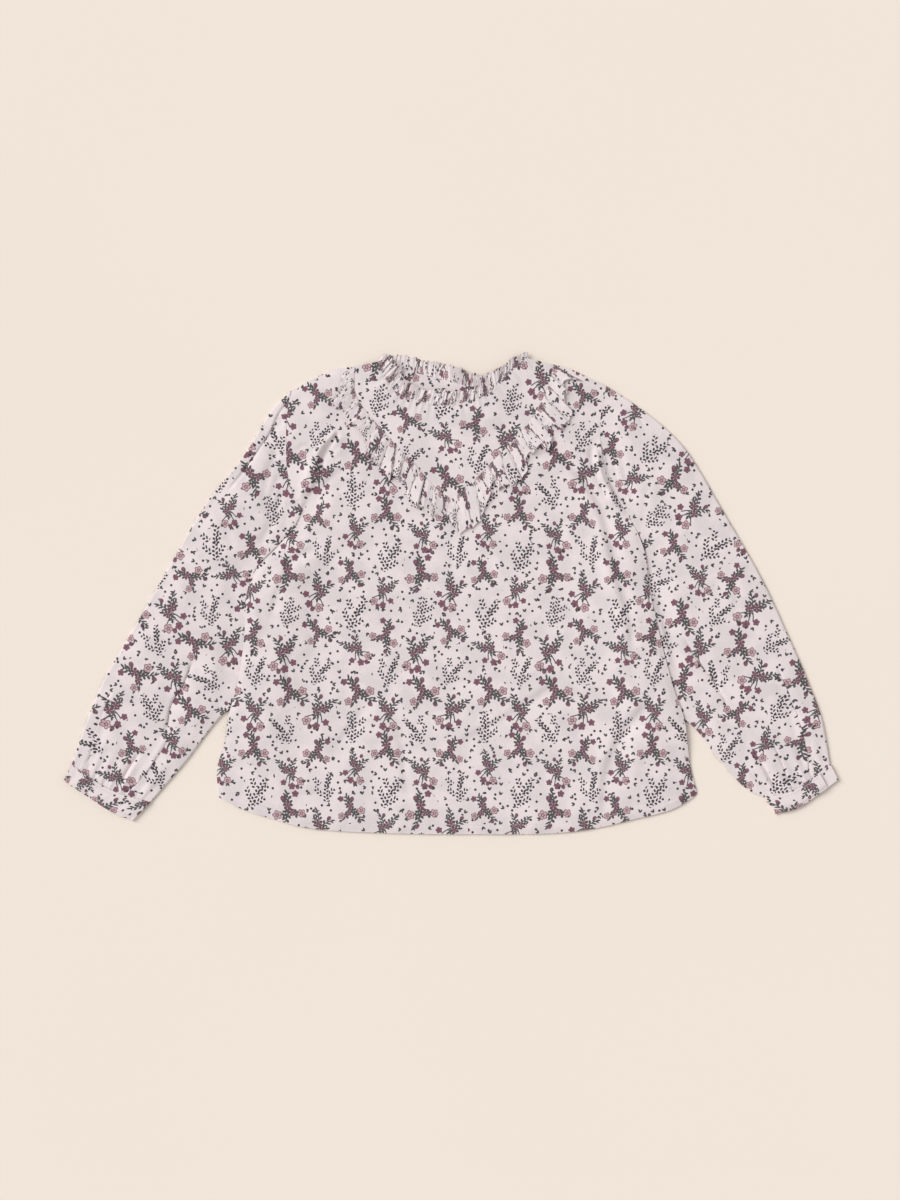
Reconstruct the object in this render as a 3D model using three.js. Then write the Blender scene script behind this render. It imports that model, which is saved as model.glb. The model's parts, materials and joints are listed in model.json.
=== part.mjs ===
// A child's long-sleeved blouse of thin printed cotton, laid flat on its back with the front up.
// It has a V-shaped yoke edged with a ruffle, a gathered neck frill and buttoned cuffs.
// Units are millimetres: X runs across the blouse, Y from hem to neck, Z up from the table.
// Each piece is a wall of cloth spread over points in plan and raised by the layers below it.
import * as THREE from "three";

// Driving dimensions
const WALL = 1.2; // one layer of cloth
const GATHERED_WALL = 1.5; // gathered cloth, measured straight up through its waves
const CUFF_WALL = 1.6; // a cuff is two layers of cloth
const SEAM_GAP = 0.3; // between pieces that are sewn together or lie on each other
const BODY_LOFT = 1.7; // how far the front floats above the back away from its seams
const SLEEVE_LOFT = 2.5; // how far a sleeve's upper layer floats above its lower one
const LOFT_LIMIT = 3.6;
const CUFF_LOFT = 0.9;
const EDGE_RAMP = 30; // distance over which the body rises from a seam
const SLEEVE_RAMP = 20;
const CUFF_RAMP = 14;
const HEM_SPRING = 8; // the hem stands a little off the back
const RUFFLE_REACH = 24; // folds of the front start past the ruffle
const FOLD_FADE = 16;
const COVER_MARGIN = 4; // a sleeve stays pressed flat this far past the body's side
const RIM = 1.6; // a flattened edge closes over this width
const SLEEVE_PLIES = WALL + SEAM_GAP + WALL; // a sleeve pressed flat
const SLEEVE_LIFT = SLEEVE_PLIES + SEAM_GAP; // the body's sides lie on the sleeves
const LIFT_RAMP = 26;
const BUTTON_DIAMETER = 9;
const BUTTON_HEIGHT = 1.8;
const BUTTON_RIM = 0.7;
const BUTTON_HOLLOW = 0.4;
const BUTTON_SIDES = 20;
const BUTTON_LIFT = BUTTON_HEIGHT + SEAM_GAP;
const NECK_BUTTON_REST = 22; // the cloth is level over this radius round the neck button
const CUFF_BUTTON_REST = 16;
const CUFF_GAP = 0.5;
const SLIT_WIDTH = 0.6;

// How many cells each stretch of cloth is divided into
const CELLS = {
  half: 14,
  lower: 18,
  upper: 8,
  yoke: 6,
  backSides: 6,
  backShoulder: 3,
  neckBack: 6,
  neckFront: 32,
  sleeveRound: 16,
  sleeveLong: 20,
  cuff: 12,
};

// Seams and edges in plan, each a short row of places on the flat blouse
const HEM = [
  { x: -222, y: -194 },
  { x: -200, y: -205 },
  { x: -170.5, y: -214.5 },
  { x: -138, y: -223 },
  { x: -60.5, y: -228 },
  { x: 16.5, y: -229 },
  { x: 97.5, y: -228 },
  { x: 132.5, y: -224 },
  { x: 169.5, y: -215.5 },
  { x: 209.5, y: -205 },
  { x: 232.5, y: -191 },
];
const SIDE_LEFT = [
  { x: -222, y: -194 },
  { x: -223.5, y: -168 },
  { x: -216, y: -139.5 },
  { x: -212.5, y: -116 },
  { x: -205.5, y: -92 },
  { x: -198, y: -46.5 },
  { x: -194.5, y: 3 },
  { x: -185, y: 24 },
  { x: -166.5, y: 43.5 },
  { x: -148.5, y: 64.5 },
  { x: -142, y: 79 },
];
const SIDE_RIGHT = [
  { x: 232.5, y: -191 },
  { x: 226.5, y: -168 },
  { x: 223, y: -144.5 },
  { x: 220, y: -120.5 },
  { x: 210.5, y: -93 },
  { x: 198, y: -46.5 },
  { x: 192.5, y: -22 },
  { x: 185.5, y: 8.5 },
  { x: 183, y: 36 },
  { x: 170.5, y: 67.5 },
  { x: 157, y: 88.5 },
];
const ARMHOLE_LEFT = [
  { x: -142, y: 79 },
  { x: -152.5, y: 96 },
  { x: -157, y: 117 },
  { x: -158, y: 140.5 },
  { x: -157, y: 169 },
  { x: -153.5, y: 192 },
];
const ARMHOLE_RIGHT = [
  { x: 157, y: 88.5 },
  { x: 147, y: 109 },
  { x: 142, y: 131 },
  { x: 140, y: 155 },
  { x: 142, y: 178.5 },
  { x: 146, y: 196.5 },
];
const SHOULDER_LEFT = [
  { x: -153.5, y: 192 },
  { x: -134.5, y: 202.5 },
  { x: -112.5, y: 212 },
  { x: -95.5, y: 215 },
];
const SHOULDER_RIGHT = [
  { x: 98.5, y: 216.5 },
  { x: 113.5, y: 212 },
  { x: 130.5, y: 204 },
  { x: 146, y: 196.5 },
];
const VEE_LEFT = [
  { x: -0.5, y: 86.5 },
  { x: -14.5, y: 95 },
  { x: -40.5, y: 123.5 },
  { x: -72.5, y: 157 },
  { x: -94.5, y: 188 },
  { x: -95.5, y: 215 },
];
const VEE_RIGHT = [
  { x: -0.5, y: 86.5 },
  { x: 16.5, y: 100 },
  { x: 43, y: 126.5 },
  { x: 68, y: 151 },
  { x: 83, y: 174 },
  { x: 93.5, y: 195 },
  { x: 98.5, y: 216.5 },
];
const NECK_FRONT = [
  { x: -71, y: 219.5 },
  { x: -66, y: 207 },
  { x: -57.5, y: 195 },
  { x: -41.5, y: 185 },
  { x: -20.5, y: 179.5 },
  { x: -2.5, y: 178.5 },
  { x: 16.5, y: 182.5 },
  { x: 34.5, y: 189 },
  { x: 43, y: 199.5 },
  { x: 52, y: 209 },
  { x: 61.5, y: 216.5 },
  { x: 71.5, y: 222.5 },
];
const NECK_BACK_LEFT = [
  { x: -71, y: 219.5 },
  { x: -48, y: 212.5 },
  { x: -27, y: 207 },
  { x: 13, y: 196.5 },
];
const NECK_BACK_RIGHT = [
  { x: 13, y: 196.5 },
  { x: 26, y: 196 },
  { x: 38, y: 202.5 },
  { x: 50, y: 212 },
  { x: 71.5, y: 222.5 },
];
const SLIT_FOOT = { x: 11, y: 128 };
const RUFFLE_FREE_LEFT = [
  { x: 1.5, y: 61 },
  { x: -26, y: 75 },
  { x: -55.5, y: 109 },
  { x: -86, y: 145.5 },
  { x: -108, y: 180.5 },
  { x: -107, y: 206 },
];
const RUFFLE_FREE_RIGHT = [
  { x: 1.5, y: 61 },
  { x: 28, y: 78 },
  { x: 56.5, y: 104.5 },
  { x: 86, y: 131 },
  { x: 104, y: 164.5 },
  { x: 114, y: 191 },
  { x: 116, y: 205 },
];
const SLEEVE_LEFT = {
  outer: [
    { x: -153.5, y: 192 },
    { x: -171.5, y: 174 },
    { x: -184, y: 153 },
    { x: -201, y: 126.5 },
    { x: -231.5, y: 88.5 },
    { x: -265.5, y: 31.5 },
    { x: -309, y: -44.5 },
    { x: -331, y: -82.5 },
    { x: -347, y: -120.5 },
    { x: -361.5, y: -162.5 },
  ],
  inner: [
    { x: -143.5, y: 78.2 },
    { x: -151, y: 63.3 },
    { x: -169.5, y: 41.5 },
    { x: -187.5, y: 24 },
    { x: -184, y: 3 },
    { x: -182, y: -25.5 },
    { x: -187.5, y: -63.5 },
    { x: -200, y: -97 },
    { x: -215, y: -112 },
    { x: -231.5, y: -131 },
    { x: -252, y: -158.5 },
    { x: -286.5, y: -198.5 },
  ],
  cuff: [
    { x: -361.5, y: -162.5 },
    { x: -346, y: -174 },
    { x: -319.5, y: -189 },
    { x: -286.5, y: -198.5 },
  ],
};
const SLEEVE_RIGHT = {
  outer: [
    { x: 146, y: 196.5 },
    { x: 166.5, y: 183.5 },
    { x: 192.5, y: 164.5 },
    { x: 220, y: 138 },
    { x: 256, y: 79 },
    { x: 294, y: 12.5 },
    { x: 320.5, y: -44.5 },
    { x: 337, y: -82.5 },
    { x: 351, y: -120.5 },
    { x: 358.5, y: -162.5 },
  ],
  inner: [
    { x: 158.5, y: 87.6 },
    { x: 172.5, y: 66.4 },
    { x: 186, y: 36 },
    { x: 177.5, y: 8.5 },
    { x: 179, y: -22 },
    { x: 184, y: -46.5 },
    { x: 197, y: -87.5 },
    { x: 222, y: -120.5 },
    { x: 231.5, y: -130 },
    { x: 253, y: -158.5 },
    { x: 280.5, y: -187 },
    { x: 296, y: -194 },
  ],
  cuff: [
    { x: 358.5, y: -162.5 },
    { x: 340, y: -176 },
    { x: 320, y: -188.5 },
    { x: 296, y: -194 },
  ],
};
// Where each side of the body starts and ends lying on its sleeve
const SLEEVE_UNDER = {
  left: { top: 66, fullTop: 34, fullFoot: -124, foot: -160, overlap: 42 },
  right: { top: 76, fullTop: 46, fullFoot: -134, foot: -168, overlap: 38 },
};

// Soft ridges (height above zero) and troughs (below) in the front, from one end to the other
const BODY_FOLDS = [
  { x1: -140, y1: 100, x2: -106, y2: 134, height: -1.5, width: 7 },
  { x1: -132, y1: 118, x2: -98, y2: 150, height: 1.1, width: 8 },
  { x1: -98, y1: 140, x2: -52, y2: 106, height: -1.0, width: 7 },
  { x1: 74, y1: 122, x2: 96, y2: 144, height: -1.2, width: 7 },
  { x1: 96, y1: 144, x2: 142, y2: 84, height: -1.4, width: 8 },
  { x1: 128, y1: 66, x2: 150, y2: -36, height: 1.3, width: 9 },
  { x1: 168, y1: 58, x2: 176, y2: -40, height: 1.4, width: 9 },
  { x1: -120, y1: 42, x2: -150, y2: 32, height: -0.9, width: 8 },
  { x1: -150, y1: 32, x2: -174, y2: -32, height: -1.1, width: 8 },
  { x1: -150, y1: -46, x2: -154, y2: -98, height: -1.0, width: 8 },
  { x1: -110, y1: -147, x2: -82, y2: -108, height: -1.0, width: 8 },
  { x1: -48, y1: -138, x2: -42, y2: -186, height: -1.0, width: 7 },
  { x1: -4, y1: -83, x2: 40, y2: -83, height: -0.8, width: 8 },
  { x1: 5, y1: -147, x2: 36, y2: -128, height: -1.1, width: 7 },
  { x1: 36, y1: -128, x2: 108, y2: -80, height: -1.0, width: 8 },
  { x1: 108, y1: -122, x2: 132, y2: -134, height: -0.9, width: 7 },
  { x1: 190, y1: -99, x2: 160, y2: -138, height: -1.2, width: 8 },
  { x1: 160, y1: -138, x2: 144, y2: -204, height: -1.2, width: 8 },
];
// The same in the upper layer of the sleeves
const SLEEVE_FOLDS = [
  { x1: -152, y1: 198, x2: -176, y2: 156, height: -1.4, width: 7 },
  { x1: -176, y1: 156, x2: -200, y2: 114, height: -1.1, width: 7 },
  { x1: -246, y1: -66, x2: -268, y2: -108, height: -1.2, width: 8 },
  { x1: -268, y1: -108, x2: -272, y2: -132, height: -1.2, width: 7 },
  { x1: -330, y1: -114, x2: -344, y2: -160, height: -1.4, width: 6 },
  { x1: -280, y1: -156, x2: -304, y2: -186, height: -1.2, width: 6 },
  { x1: 152, y1: 190, x2: 172, y2: 172, height: -1.2, width: 7 },
  { x1: 224, y1: -52, x2: 264, y2: -108, height: -1.2, width: 8 },
  { x1: 314, y1: -88, x2: 340, y2: -172, height: -1.4, width: 7 },
  { x1: 306, y1: -148, x2: 324, y2: -188, height: -1.2, width: 6 },
];
const CUFF_GATHERS = { count: 8, height: 0.8, reach: 46 };

const RUFFLE = { waves: 25, height: 3.2, samples: 4, seat: 0.5, sewnPast: 2.5 };
const FRILL = { samples: 4, rootShare: 0.15, frontRest: 3.4, seamGap: 0.6 };
// The neck frill, stretch by stretch: its waves, the waves of seam left bare before and after
// it, and where its free edge lies
const FRILLS = {
  neck_frill_front: {
    waves: 24,
    height: 2.4,
    before: 0,
    after: 0,
    neck: "neckFront",
    free: [
      { x: -64.5, y: 228.5 },
      { x: -52, y: 216 },
      { x: -46.5, y: 203 },
      { x: -37, y: 196 },
      { x: -20, y: 192.5 },
      { x: -3, y: 191.5 },
      { x: 13, y: 192.5 },
      { x: 25, y: 198 },
      { x: 33.5, y: 207 },
      { x: 45, y: 212 },
      { x: 55, y: 221 },
      { x: 72, y: 228.5 },
    ],
  },
  neck_frill_back_left: {
    waves: 8,
    height: 1.4,
    before: 1,
    after: 0,
    neck: "neckBackLeft",
    free: [
      { x: -60, y: 227 },
      { x: -35.5, y: 223 },
      { x: -9.5, y: 217.5 },
      { x: 12.4, y: 211 },
    ],
  },
  neck_frill_back_right: {
    waves: 6,
    height: 1.2,
    before: 0,
    after: 1,
    neck: "neckBackRight",
    free: [
      { x: 14.4, y: 209.5 },
      { x: 25.5, y: 206.5 },
      { x: 36, y: 210 },
      { x: 49.5, y: 216.5 },
      { x: 61, y: 224 },
    ],
  },
};

// The cuffs' free edges from opening to fold, and how far the underlap tab shows past the top layer
const CUFFS = {
  left: {
    free: [
      { x: -369, y: -178 },
      { x: -354, y: -188 },
      { x: -326, y: -206.5 },
      { x: -303.5, y: -216.5 },
    ],
    tab: 6,
  },
  right: {
    free: [
      { x: 366, y: -177 },
      { x: 348, y: -190.5 },
      { x: 328, y: -204 },
      { x: 306.5, y: -210 },
    ],
    tab: 13,
  },
};
const BUTTON_PLACES = {
  neck_button: { x: 20, y: 188 },
  cuff_button_left: { x: -357.5, y: -176.5 },
  cuff_button_right: { x: 355, y: -175.5 },
};

const FINISHES = {
  cotton: { color: 0xe1d5d5, roughness: 0.9, metalness: 0 },
  button: { color: 0xe9e1da, roughness: 0.4, metalness: 0 },
};

// Small helpers
const lerp = THREE.MathUtils.lerp;
const clamp = THREE.MathUtils.clamp;

/** Rises smoothly from 0 to 1 as t goes from 0 to 1. */
function ease(t) {
  return THREE.MathUtils.smoothstep(t, 0, 1);
}

/** Points at even distances along one smooth curve through the rows. */
function stations(rows, cells) {
  const curve = new THREE.CatmullRomCurve3(
    rows.map((row) => new THREE.Vector3(row.x, row.y, 0)),
    false,
    "centripetal",
  );
  return curve.getSpacedPoints(cells).map((point) => ({ x: point.x, y: point.y }));
}

/** Points at even index steps along straight runs between the given points. */
function between(points, cells) {
  const last = points.length - 1;
  return Array.from({ length: cells + 1 }, (_, i) => {
    const at = (i * last) / cells;
    const k = Math.min(Math.floor(at), last - 1);
    const t = at - k;
    return {
      x: lerp(points[k].x, points[k + 1].x, t),
      y: lerp(points[k].y, points[k + 1].y, t),
    };
  });
}

/** Runs joined end to end, with each shared end kept once. */
function joined(...runs) {
  return runs.reduce((all, run) => all.concat(run.slice(all.length ? 1 : 0)), []);
}

/** A row of points moved sideways, to the left of its direction when the distance is positive. */
function shifted(points, distance) {
  return points.map((point, i) => {
    const before = points[Math.max(i - 1, 0)];
    const after = points[Math.min(i + 1, points.length - 1)];
    const dx = after.x - before.x;
    const dy = after.y - before.y;
    const length = Math.hypot(dx, dy);
    return { x: point.x - (dy / length) * distance, y: point.y + (dx / length) * distance };
  });
}

/** The grid that fills four edges: rows run from the bottom edge to the top one. */
function fill(bottom, top, left, right) {
  const columns = bottom.length - 1;
  const rows = left.length - 1;
  return left.map((_, j) => {
    const v = j / rows;
    return bottom.map((_, i) => {
      const u = i / columns;
      const at = (axis) =>
        lerp(bottom[i][axis], top[i][axis], v) +
        lerp(left[j][axis], right[j][axis], u) -
        lerp(
          lerp(bottom[0][axis], bottom[columns][axis], u),
          lerp(top[0][axis], top[columns][axis], u),
          v,
        );
      return { x: at("x"), y: at("y") };
    });
  });
}

/** The x of a side edge at height y, held at the ends of its points. */
function edgeAt(points, y) {
  const above = points.findIndex((point) => point.y >= y);
  if (above === 0) return points[0].x;
  if (above < 0) return points[points.length - 1].x;
  const from = points[above - 1];
  const to = points[above];
  return lerp(from.x, to.x, (y - from.y) / (to.y - from.y));
}

/** The distance from a place to the stretch between two others. */
function distanceTo(x, y, x1, y1, x2, y2) {
  const dx = x2 - x1;
  const dy = y2 - y1;
  const t = clamp(((x - x1) * dx + (y - y1) * dy) / (dx * dx + dy * dy), 0, 1);
  return Math.hypot(x - x1 - t * dx, y - y1 - t * dy);
}

/** The shortest distance from a place to a row of points. */
function distanceToRow(x, y, points) {
  let best = Infinity;
  for (let k = 1; k < points.length; k += 1) {
    const a = points[k - 1];
    const b = points[k];
    best = Math.min(best, distanceTo(x, y, a.x, a.y, b.x, b.y));
  }
  return best;
}

/** The height that a table of folds adds at a place. */
function foldHeight(folds, x, y) {
  return folds.reduce((sum, fold) => {
    const d = distanceTo(x, y, fold.x1, fold.y1, fold.x2, fold.y2) / fold.width;
    return sum + fold.height * Math.exp(-d * d);
  }, 0);
}

// Shared seam lines, each worked out once so that neighbours meet point for point
const seams = {
  hem: stations(HEM, 2 * CELLS.half),
  sideLeft: stations(SIDE_LEFT, CELLS.lower),
  sideRight: stations(SIDE_RIGHT, CELLS.lower),
  armholeLeft: stations(ARMHOLE_LEFT, CELLS.upper),
  armholeRight: stations(ARMHOLE_RIGHT, CELLS.upper),
  shoulderLeft: stations(SHOULDER_LEFT, CELLS.half),
  shoulderRight: stations(SHOULDER_RIGHT, CELLS.half),
  veeLeft: stations(VEE_LEFT, CELLS.upper),
  veeRight: stations(VEE_RIGHT, CELLS.upper),
  neckFront: stations(NECK_FRONT, CELLS.neckFront),
  neckBackLeft: stations(NECK_BACK_LEFT, CELLS.neckBack),
  neckBackRight: stations(NECK_BACK_RIGHT, CELLS.neckBack),
};
seams.neckBackLeft[CELLS.neckBack].x -= SLIT_WIDTH;
const waist = {
  left: between([seams.armholeLeft[0], seams.veeLeft[0]], CELLS.half),
  right: between([seams.veeRight[0], seams.armholeRight[0]], CELLS.half),
};
const sides = {
  left: { under: seams.sideLeft, whole: joined(seams.sideLeft, seams.armholeLeft), inward: 1 },
  right: { under: seams.sideRight, whole: joined(seams.sideRight, seams.armholeRight), inward: -1 },
};

/** How far the sleeve below raises one side of the body at a place. */
function sideLift(x, y, name) {
  const zone = SLEEVE_UNDER[name];
  const side = sides[name];
  const along = ease((zone.top - y) / (zone.top - zone.fullTop))
    * ease((y - zone.foot) / (zone.fullFoot - zone.foot));
  const inside = (x - edgeAt(side.under, y)) * side.inward;
  return SLEEVE_LIFT * along * (1 - ease((inside - zone.overlap) / LIFT_RAMP));
}

/** How far the neck button raises the cloth that lies on it. */
function buttonLift(x, y) {
  const place = BUTTON_PLACES.neck_button;
  const past = Math.hypot(x - place.x, y - place.y) - NECK_BUTTON_REST;
  return BUTTON_LIFT * (1 - ease(past / EDGE_RAMP));
}

/** The height of the back's underside above the table. */
function lift(x, y) {
  return Math.max(sideLift(x, y, "left"), sideLift(x, y, "right"), buttonLift(x, y));
}

/** The height of the front's underside: the back, a gap and the front's own loft. */
function frontUnder(x, y) {
  const nearest = (...rows) => Math.min(...rows.map((row) => distanceToRow(x, y, row)));
  const edge = nearest(sides.left.whole, sides.right.whole);
  const shoulder = nearest(seams.shoulderLeft, seams.shoulderRight);
  const rise = ease(edge / EDGE_RAMP)
    * ease(shoulder / EDGE_RAMP)
    * ease((nearest(seams.hem) + HEM_SPRING) / EDGE_RAMP);
  const clearOfVee = nearest(seams.veeLeft, seams.veeRight) - RUFFLE_REACH;
  const folds = foldHeight(BODY_FOLDS, x, y) * ease(clearOfVee / FOLD_FADE);
  return lift(x, y) + WALL + SEAM_GAP + clamp(BODY_LOFT + folds, 0, LOFT_LIMIT) * rise;
}

// Solids

/** A closed mesh from points and triangles. */
function mesh(name, positions, triangles, finish) {
  const geometry = new THREE.BufferGeometry();
  geometry.setAttribute("position", new THREE.Float32BufferAttribute(positions.flat(), 3));
  geometry.setIndex(triangles.flat());
  geometry.computeVertexNormals();
  const result = new THREE.Mesh(geometry, new THREE.MeshStandardMaterial(FINISHES[finish]));
  result.name = name;
  return result;
}

/** The triangles of one grid, turned so that they face up; cells with a shared corner give one. */
function gridFaces(grid, indexOf) {
  const faces = [];
  for (let j = 1; j < grid.length; j += 1) {
    for (let i = 1; i < grid[j].length; i += 1) {
      const a = indexOf(grid[j - 1][i - 1]);
      const b = indexOf(grid[j - 1][i]);
      const c = indexOf(grid[j][i]);
      const d = indexOf(grid[j][i - 1]);
      if (a !== b && b !== c) faces.push([a, b, c]);
      if (a !== d && c !== d) faces.push([a, c, d]);
    }
  }
  return faces;
}

/** A wall of cloth over flat grids that share edges, from its underside up by its thickness. */
function wall(name, grids, under, thickness) {
  const plan = [];
  const seen = new Map();
  const indexOf = (point) => {
    const key = `${point.x.toFixed(4)} ${point.y.toFixed(4)}`;
    if (!seen.has(key)) {
      seen.set(key, plan.length);
      plan.push(point);
    }
    return seen.get(key);
  };
  let faces = grids.flatMap((grid) => gridFaces(grid, indexOf));
  const area = faces.reduce((sum, [a, b, c]) => {
    const [p, q, r] = [plan[a], plan[b], plan[c]];
    return sum + (q.x - p.x) * (r.y - p.y) - (r.x - p.x) * (q.y - p.y);
  }, 0);
  if (area < 0) faces = faces.map(([a, b, c]) => [a, c, b]);
  const count = plan.length;
  const low = plan.map((point) => [point.x, point.y, under(point)]);
  const high = low.map(([x, y, z]) => [x, y, z + thickness]);
  const triangles = faces.flatMap(([a, b, c]) => [
    [a, c, b],
    [a + count, b + count, c + count],
  ]);
  const edges = new Set(faces.flatMap(([a, b, c]) => [`${a} ${b}`, `${b} ${c}`, `${c} ${a}`]));
  for (const edge of edges) {
    const [a, b] = edge.split(" ").map(Number);
    if (!edges.has(`${b} ${a}`)) triangles.push([a, b, b + count], [a, b + count, a + count]);
  }
  return mesh(name, low.concat(high), triangles, "cotton");
}

/** A wall between two shells of rings; the rings are closed round a tube, or open in a band. */
function shells(name, outer, inner, closed) {
  const size = outer[0].length;
  const length = outer.length;
  const at = (shell, ring, k) => (shell * length + ring) * size + (k % size);
  const triangles = [];
  const quad = (a, b, c, d) => triangles.push([a, b, c], [a, c, d]);
  for (let k = 0; k < (closed ? size : size - 1); k += 1) {
    for (let ring = 1; ring < length; ring += 1) {
      quad(at(0, ring - 1, k), at(0, ring - 1, k + 1), at(0, ring, k + 1), at(0, ring, k));
      quad(at(1, ring - 1, k + 1), at(1, ring - 1, k), at(1, ring, k), at(1, ring, k + 1));
    }
    const end = length - 1;
    quad(at(0, 0, k + 1), at(0, 0, k), at(1, 0, k), at(1, 0, k + 1));
    quad(at(0, end, k), at(0, end, k + 1), at(1, end, k + 1), at(1, end, k));
  }
  for (let ring = 1; ring < length && !closed; ring += 1) {
    const k = size - 1;
    quad(at(0, ring - 1, 0), at(0, ring, 0), at(1, ring, 0), at(1, ring - 1, 0));
    quad(at(0, ring, k), at(0, ring - 1, k), at(1, ring - 1, k), at(1, ring, k));
  }
  const positions = outer.flat().concat(inner.flat());
  if (volume(positions, triangles) < 0) triangles.forEach((triangle) => triangle.reverse());
  return mesh(name, positions, triangles, "cotton");
}

/** The signed volume inside a closed mesh, in any unit: negative when it is inside out. */
function volume(positions, triangles) {
  return triangles.reduce((sum, corners) => {
    const [p, q, r] = corners.map((index) => new THREE.Vector3(...positions[index]));
    return sum + p.dot(q.cross(r));
  }, 0);
}

/** The front below and beside the V yoke. */
function makeFront() {
  const lower = fill(seams.hem, joined(waist.left, waist.right), seams.sideLeft, seams.sideRight);
  const left = fill(waist.left, seams.shoulderLeft, seams.armholeLeft, seams.veeLeft);
  const right = fill(waist.right, seams.shoulderRight, seams.veeRight, seams.armholeRight);
  return wall("front", [lower, left, right], (p) => frontUnder(p.x, p.y), WALL);
}

/** The back, with its slit from the neck. Away from its sides it keeps every second column. */
function makeBack() {
  const last = 2 * CELLS.half;
  const near = CELLS.backSides;
  const thin = (row) => row.filter((_, i) => i <= near || i >= last - near || (i - near) % 2 === 0);
  const waistRow = joined(waist.left, waist.right);
  const lower = fill(seams.hem, waistRow, seams.sideLeft, seams.sideRight);
  const foot = thin(waistRow);
  const top = joined(
    stations([...SHOULDER_LEFT, NECK_BACK_LEFT[0]], CELLS.backShoulder),
    seams.neckBackLeft,
    [seams.neckBackLeft[CELLS.neckBack], SLIT_FOOT],
    [SLIT_FOOT, seams.neckBackRight[0]],
    seams.neckBackRight,
    stations([NECK_BACK_RIGHT[NECK_BACK_RIGHT.length - 1], ...SHOULDER_RIGHT], CELLS.backShoulder),
  );
  const upper = fill(foot, top, seams.armholeLeft, seams.armholeRight);
  return wall("back", [lower.map(thin), upper], (p) => lift(p.x, p.y), WALL);
}

/** The yoke between the V seam and the front neckline. */
function makeYoke() {
  const vee = joined([...seams.veeLeft].reverse(), seams.veeRight);
  const columns = CELLS.neckFront;
  const foot = between(shifted(vee, SEAM_GAP), columns);
  const neck = seams.neckFront;
  const left = between([foot[0], neck[0]], CELLS.yoke);
  const right = between([foot[columns], neck[columns]], CELLS.yoke);
  const grid = fill(foot, neck, left, right);
  return wall("front_yoke", [grid], (p) => frontUnder(p.x, p.y), WALL);
}

/** A gathered strip from its seam to its free edge; the waves grow towards the free edge. */
function ribbon(name, seam, free, under, { height, samples }) {
  const grid = [0, 0.5, 1].map((across) =>
    seam.map((point, i) => {
      const wave = (height / 2) * (1 - Math.cos((2 * Math.PI * i) / samples));
      return {
        x: lerp(point.x, free[i].x, across),
        y: lerp(point.y, free[i].y, across),
        across,
        seam: point,
        rise: wave * lerp(FRILL.rootShare, 1, across),
      };
    }),
  );
  return wall(name, [grid], (p) => under(p) + p.rise, GATHERED_WALL);
}

/** The ruffle over the V seam. */
function makeRuffle() {
  const half = (RUFFLE.waves * RUFFLE.samples) / 2;
  const both = (left, right) => joined(stations(left, half).reverse(), stations(right, half));
  const seam = shifted(both(VEE_LEFT, VEE_RIGHT), RUFFLE.sewnPast);
  const free = both(RUFFLE_FREE_LEFT, RUFFLE_FREE_RIGHT);
  const under = (p) => frontUnder(p.x, p.y) + WALL + RUFFLE.seat;
  return ribbon("yoke_ruffle", seam, free, under, RUFFLE);
}

/** One stretch of the neck frill: behind the opening on the table, or in front over the opening. */
function makeFrill(name) {
  const { waves, before, after, height, neck, free } = FRILLS[name];
  const cells = waves * FRILL.samples;
  const inFront = name === "neck_frill_front";
  const first = before * FRILL.samples;
  const whole = first + cells + after * FRILL.samples;
  const seam = shifted(between(seams[neck], whole), FRILL.seamGap).slice(first, first + cells + 1);
  const under = (p) => {
    const behind = lift(p.x, p.y);
    if (!inFront) return behind;
    return Math.max(frontUnder(p.seam.x, p.seam.y), (behind + FRILL.frontRest) * ease(2 * p.across));
  };
  const wave = { height, samples: FRILL.samples };
  return ribbon(name, seam, stations(free, cells), under, wave);
}

/** One sleeve: a flattened tube from the armhole to the cuff, pressed flat where the body lies on it. */
function makeSleeve(name, rows, armhole, away) {
  const side = sides[name];
  const top = between(shifted(armhole, away * SEAM_GAP), CELLS.sleeveRound).reverse();
  const outerEdge = stations(rows.outer, CELLS.sleeveLong);
  const innerEdge = stations(rows.inner, CELLS.sleeveLong);
  const cuff = stations(rows.cuff, CELLS.sleeveRound);
  outerEdge[0] = top[0];
  innerEdge[0] = top[CELLS.sleeveRound];
  const grid = fill(top, cuff, outerEdge, innerEdge);
  const upperOf = (p) => {
    const covered = p.y < side.under[side.under.length - 1].y
      && (p.x - edgeAt(side.under, p.y)) * side.inward > 0;
    const clear = covered ? 0 : distanceToRow(p.x, p.y, side.whole);
    const rise = ease(distanceToRow(p.x, p.y, outerEdge) / SLEEVE_RAMP)
      * ease(distanceToRow(p.x, p.y, innerEdge) / SLEEVE_RAMP)
      * ease((clear - COVER_MARGIN) / SLEEVE_RAMP);
    const fromCuff = distanceToRow(p.x, p.y, cuff) / CUFF_GATHERS.reach;
    const gathers = CUFF_GATHERS.height * Math.cos(2 * Math.PI * CUFF_GATHERS.count * p.u)
      * (1 - ease(fromCuff));
    const loft = SLEEVE_LOFT + foldHeight(SLEEVE_FOLDS, p.x, p.y) + gathers;
    return SLEEVE_PLIES + clamp(loft, 0, LOFT_LIMIT) * rise;
  };
  const outer = grid.map((row) => sleeveRing(row, 0, upperOf));
  const inner = grid.map((row) => sleeveRing(row, WALL, upperOf));
  return shells(`sleeve_${name}`, outer, inner, true);
}

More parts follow.
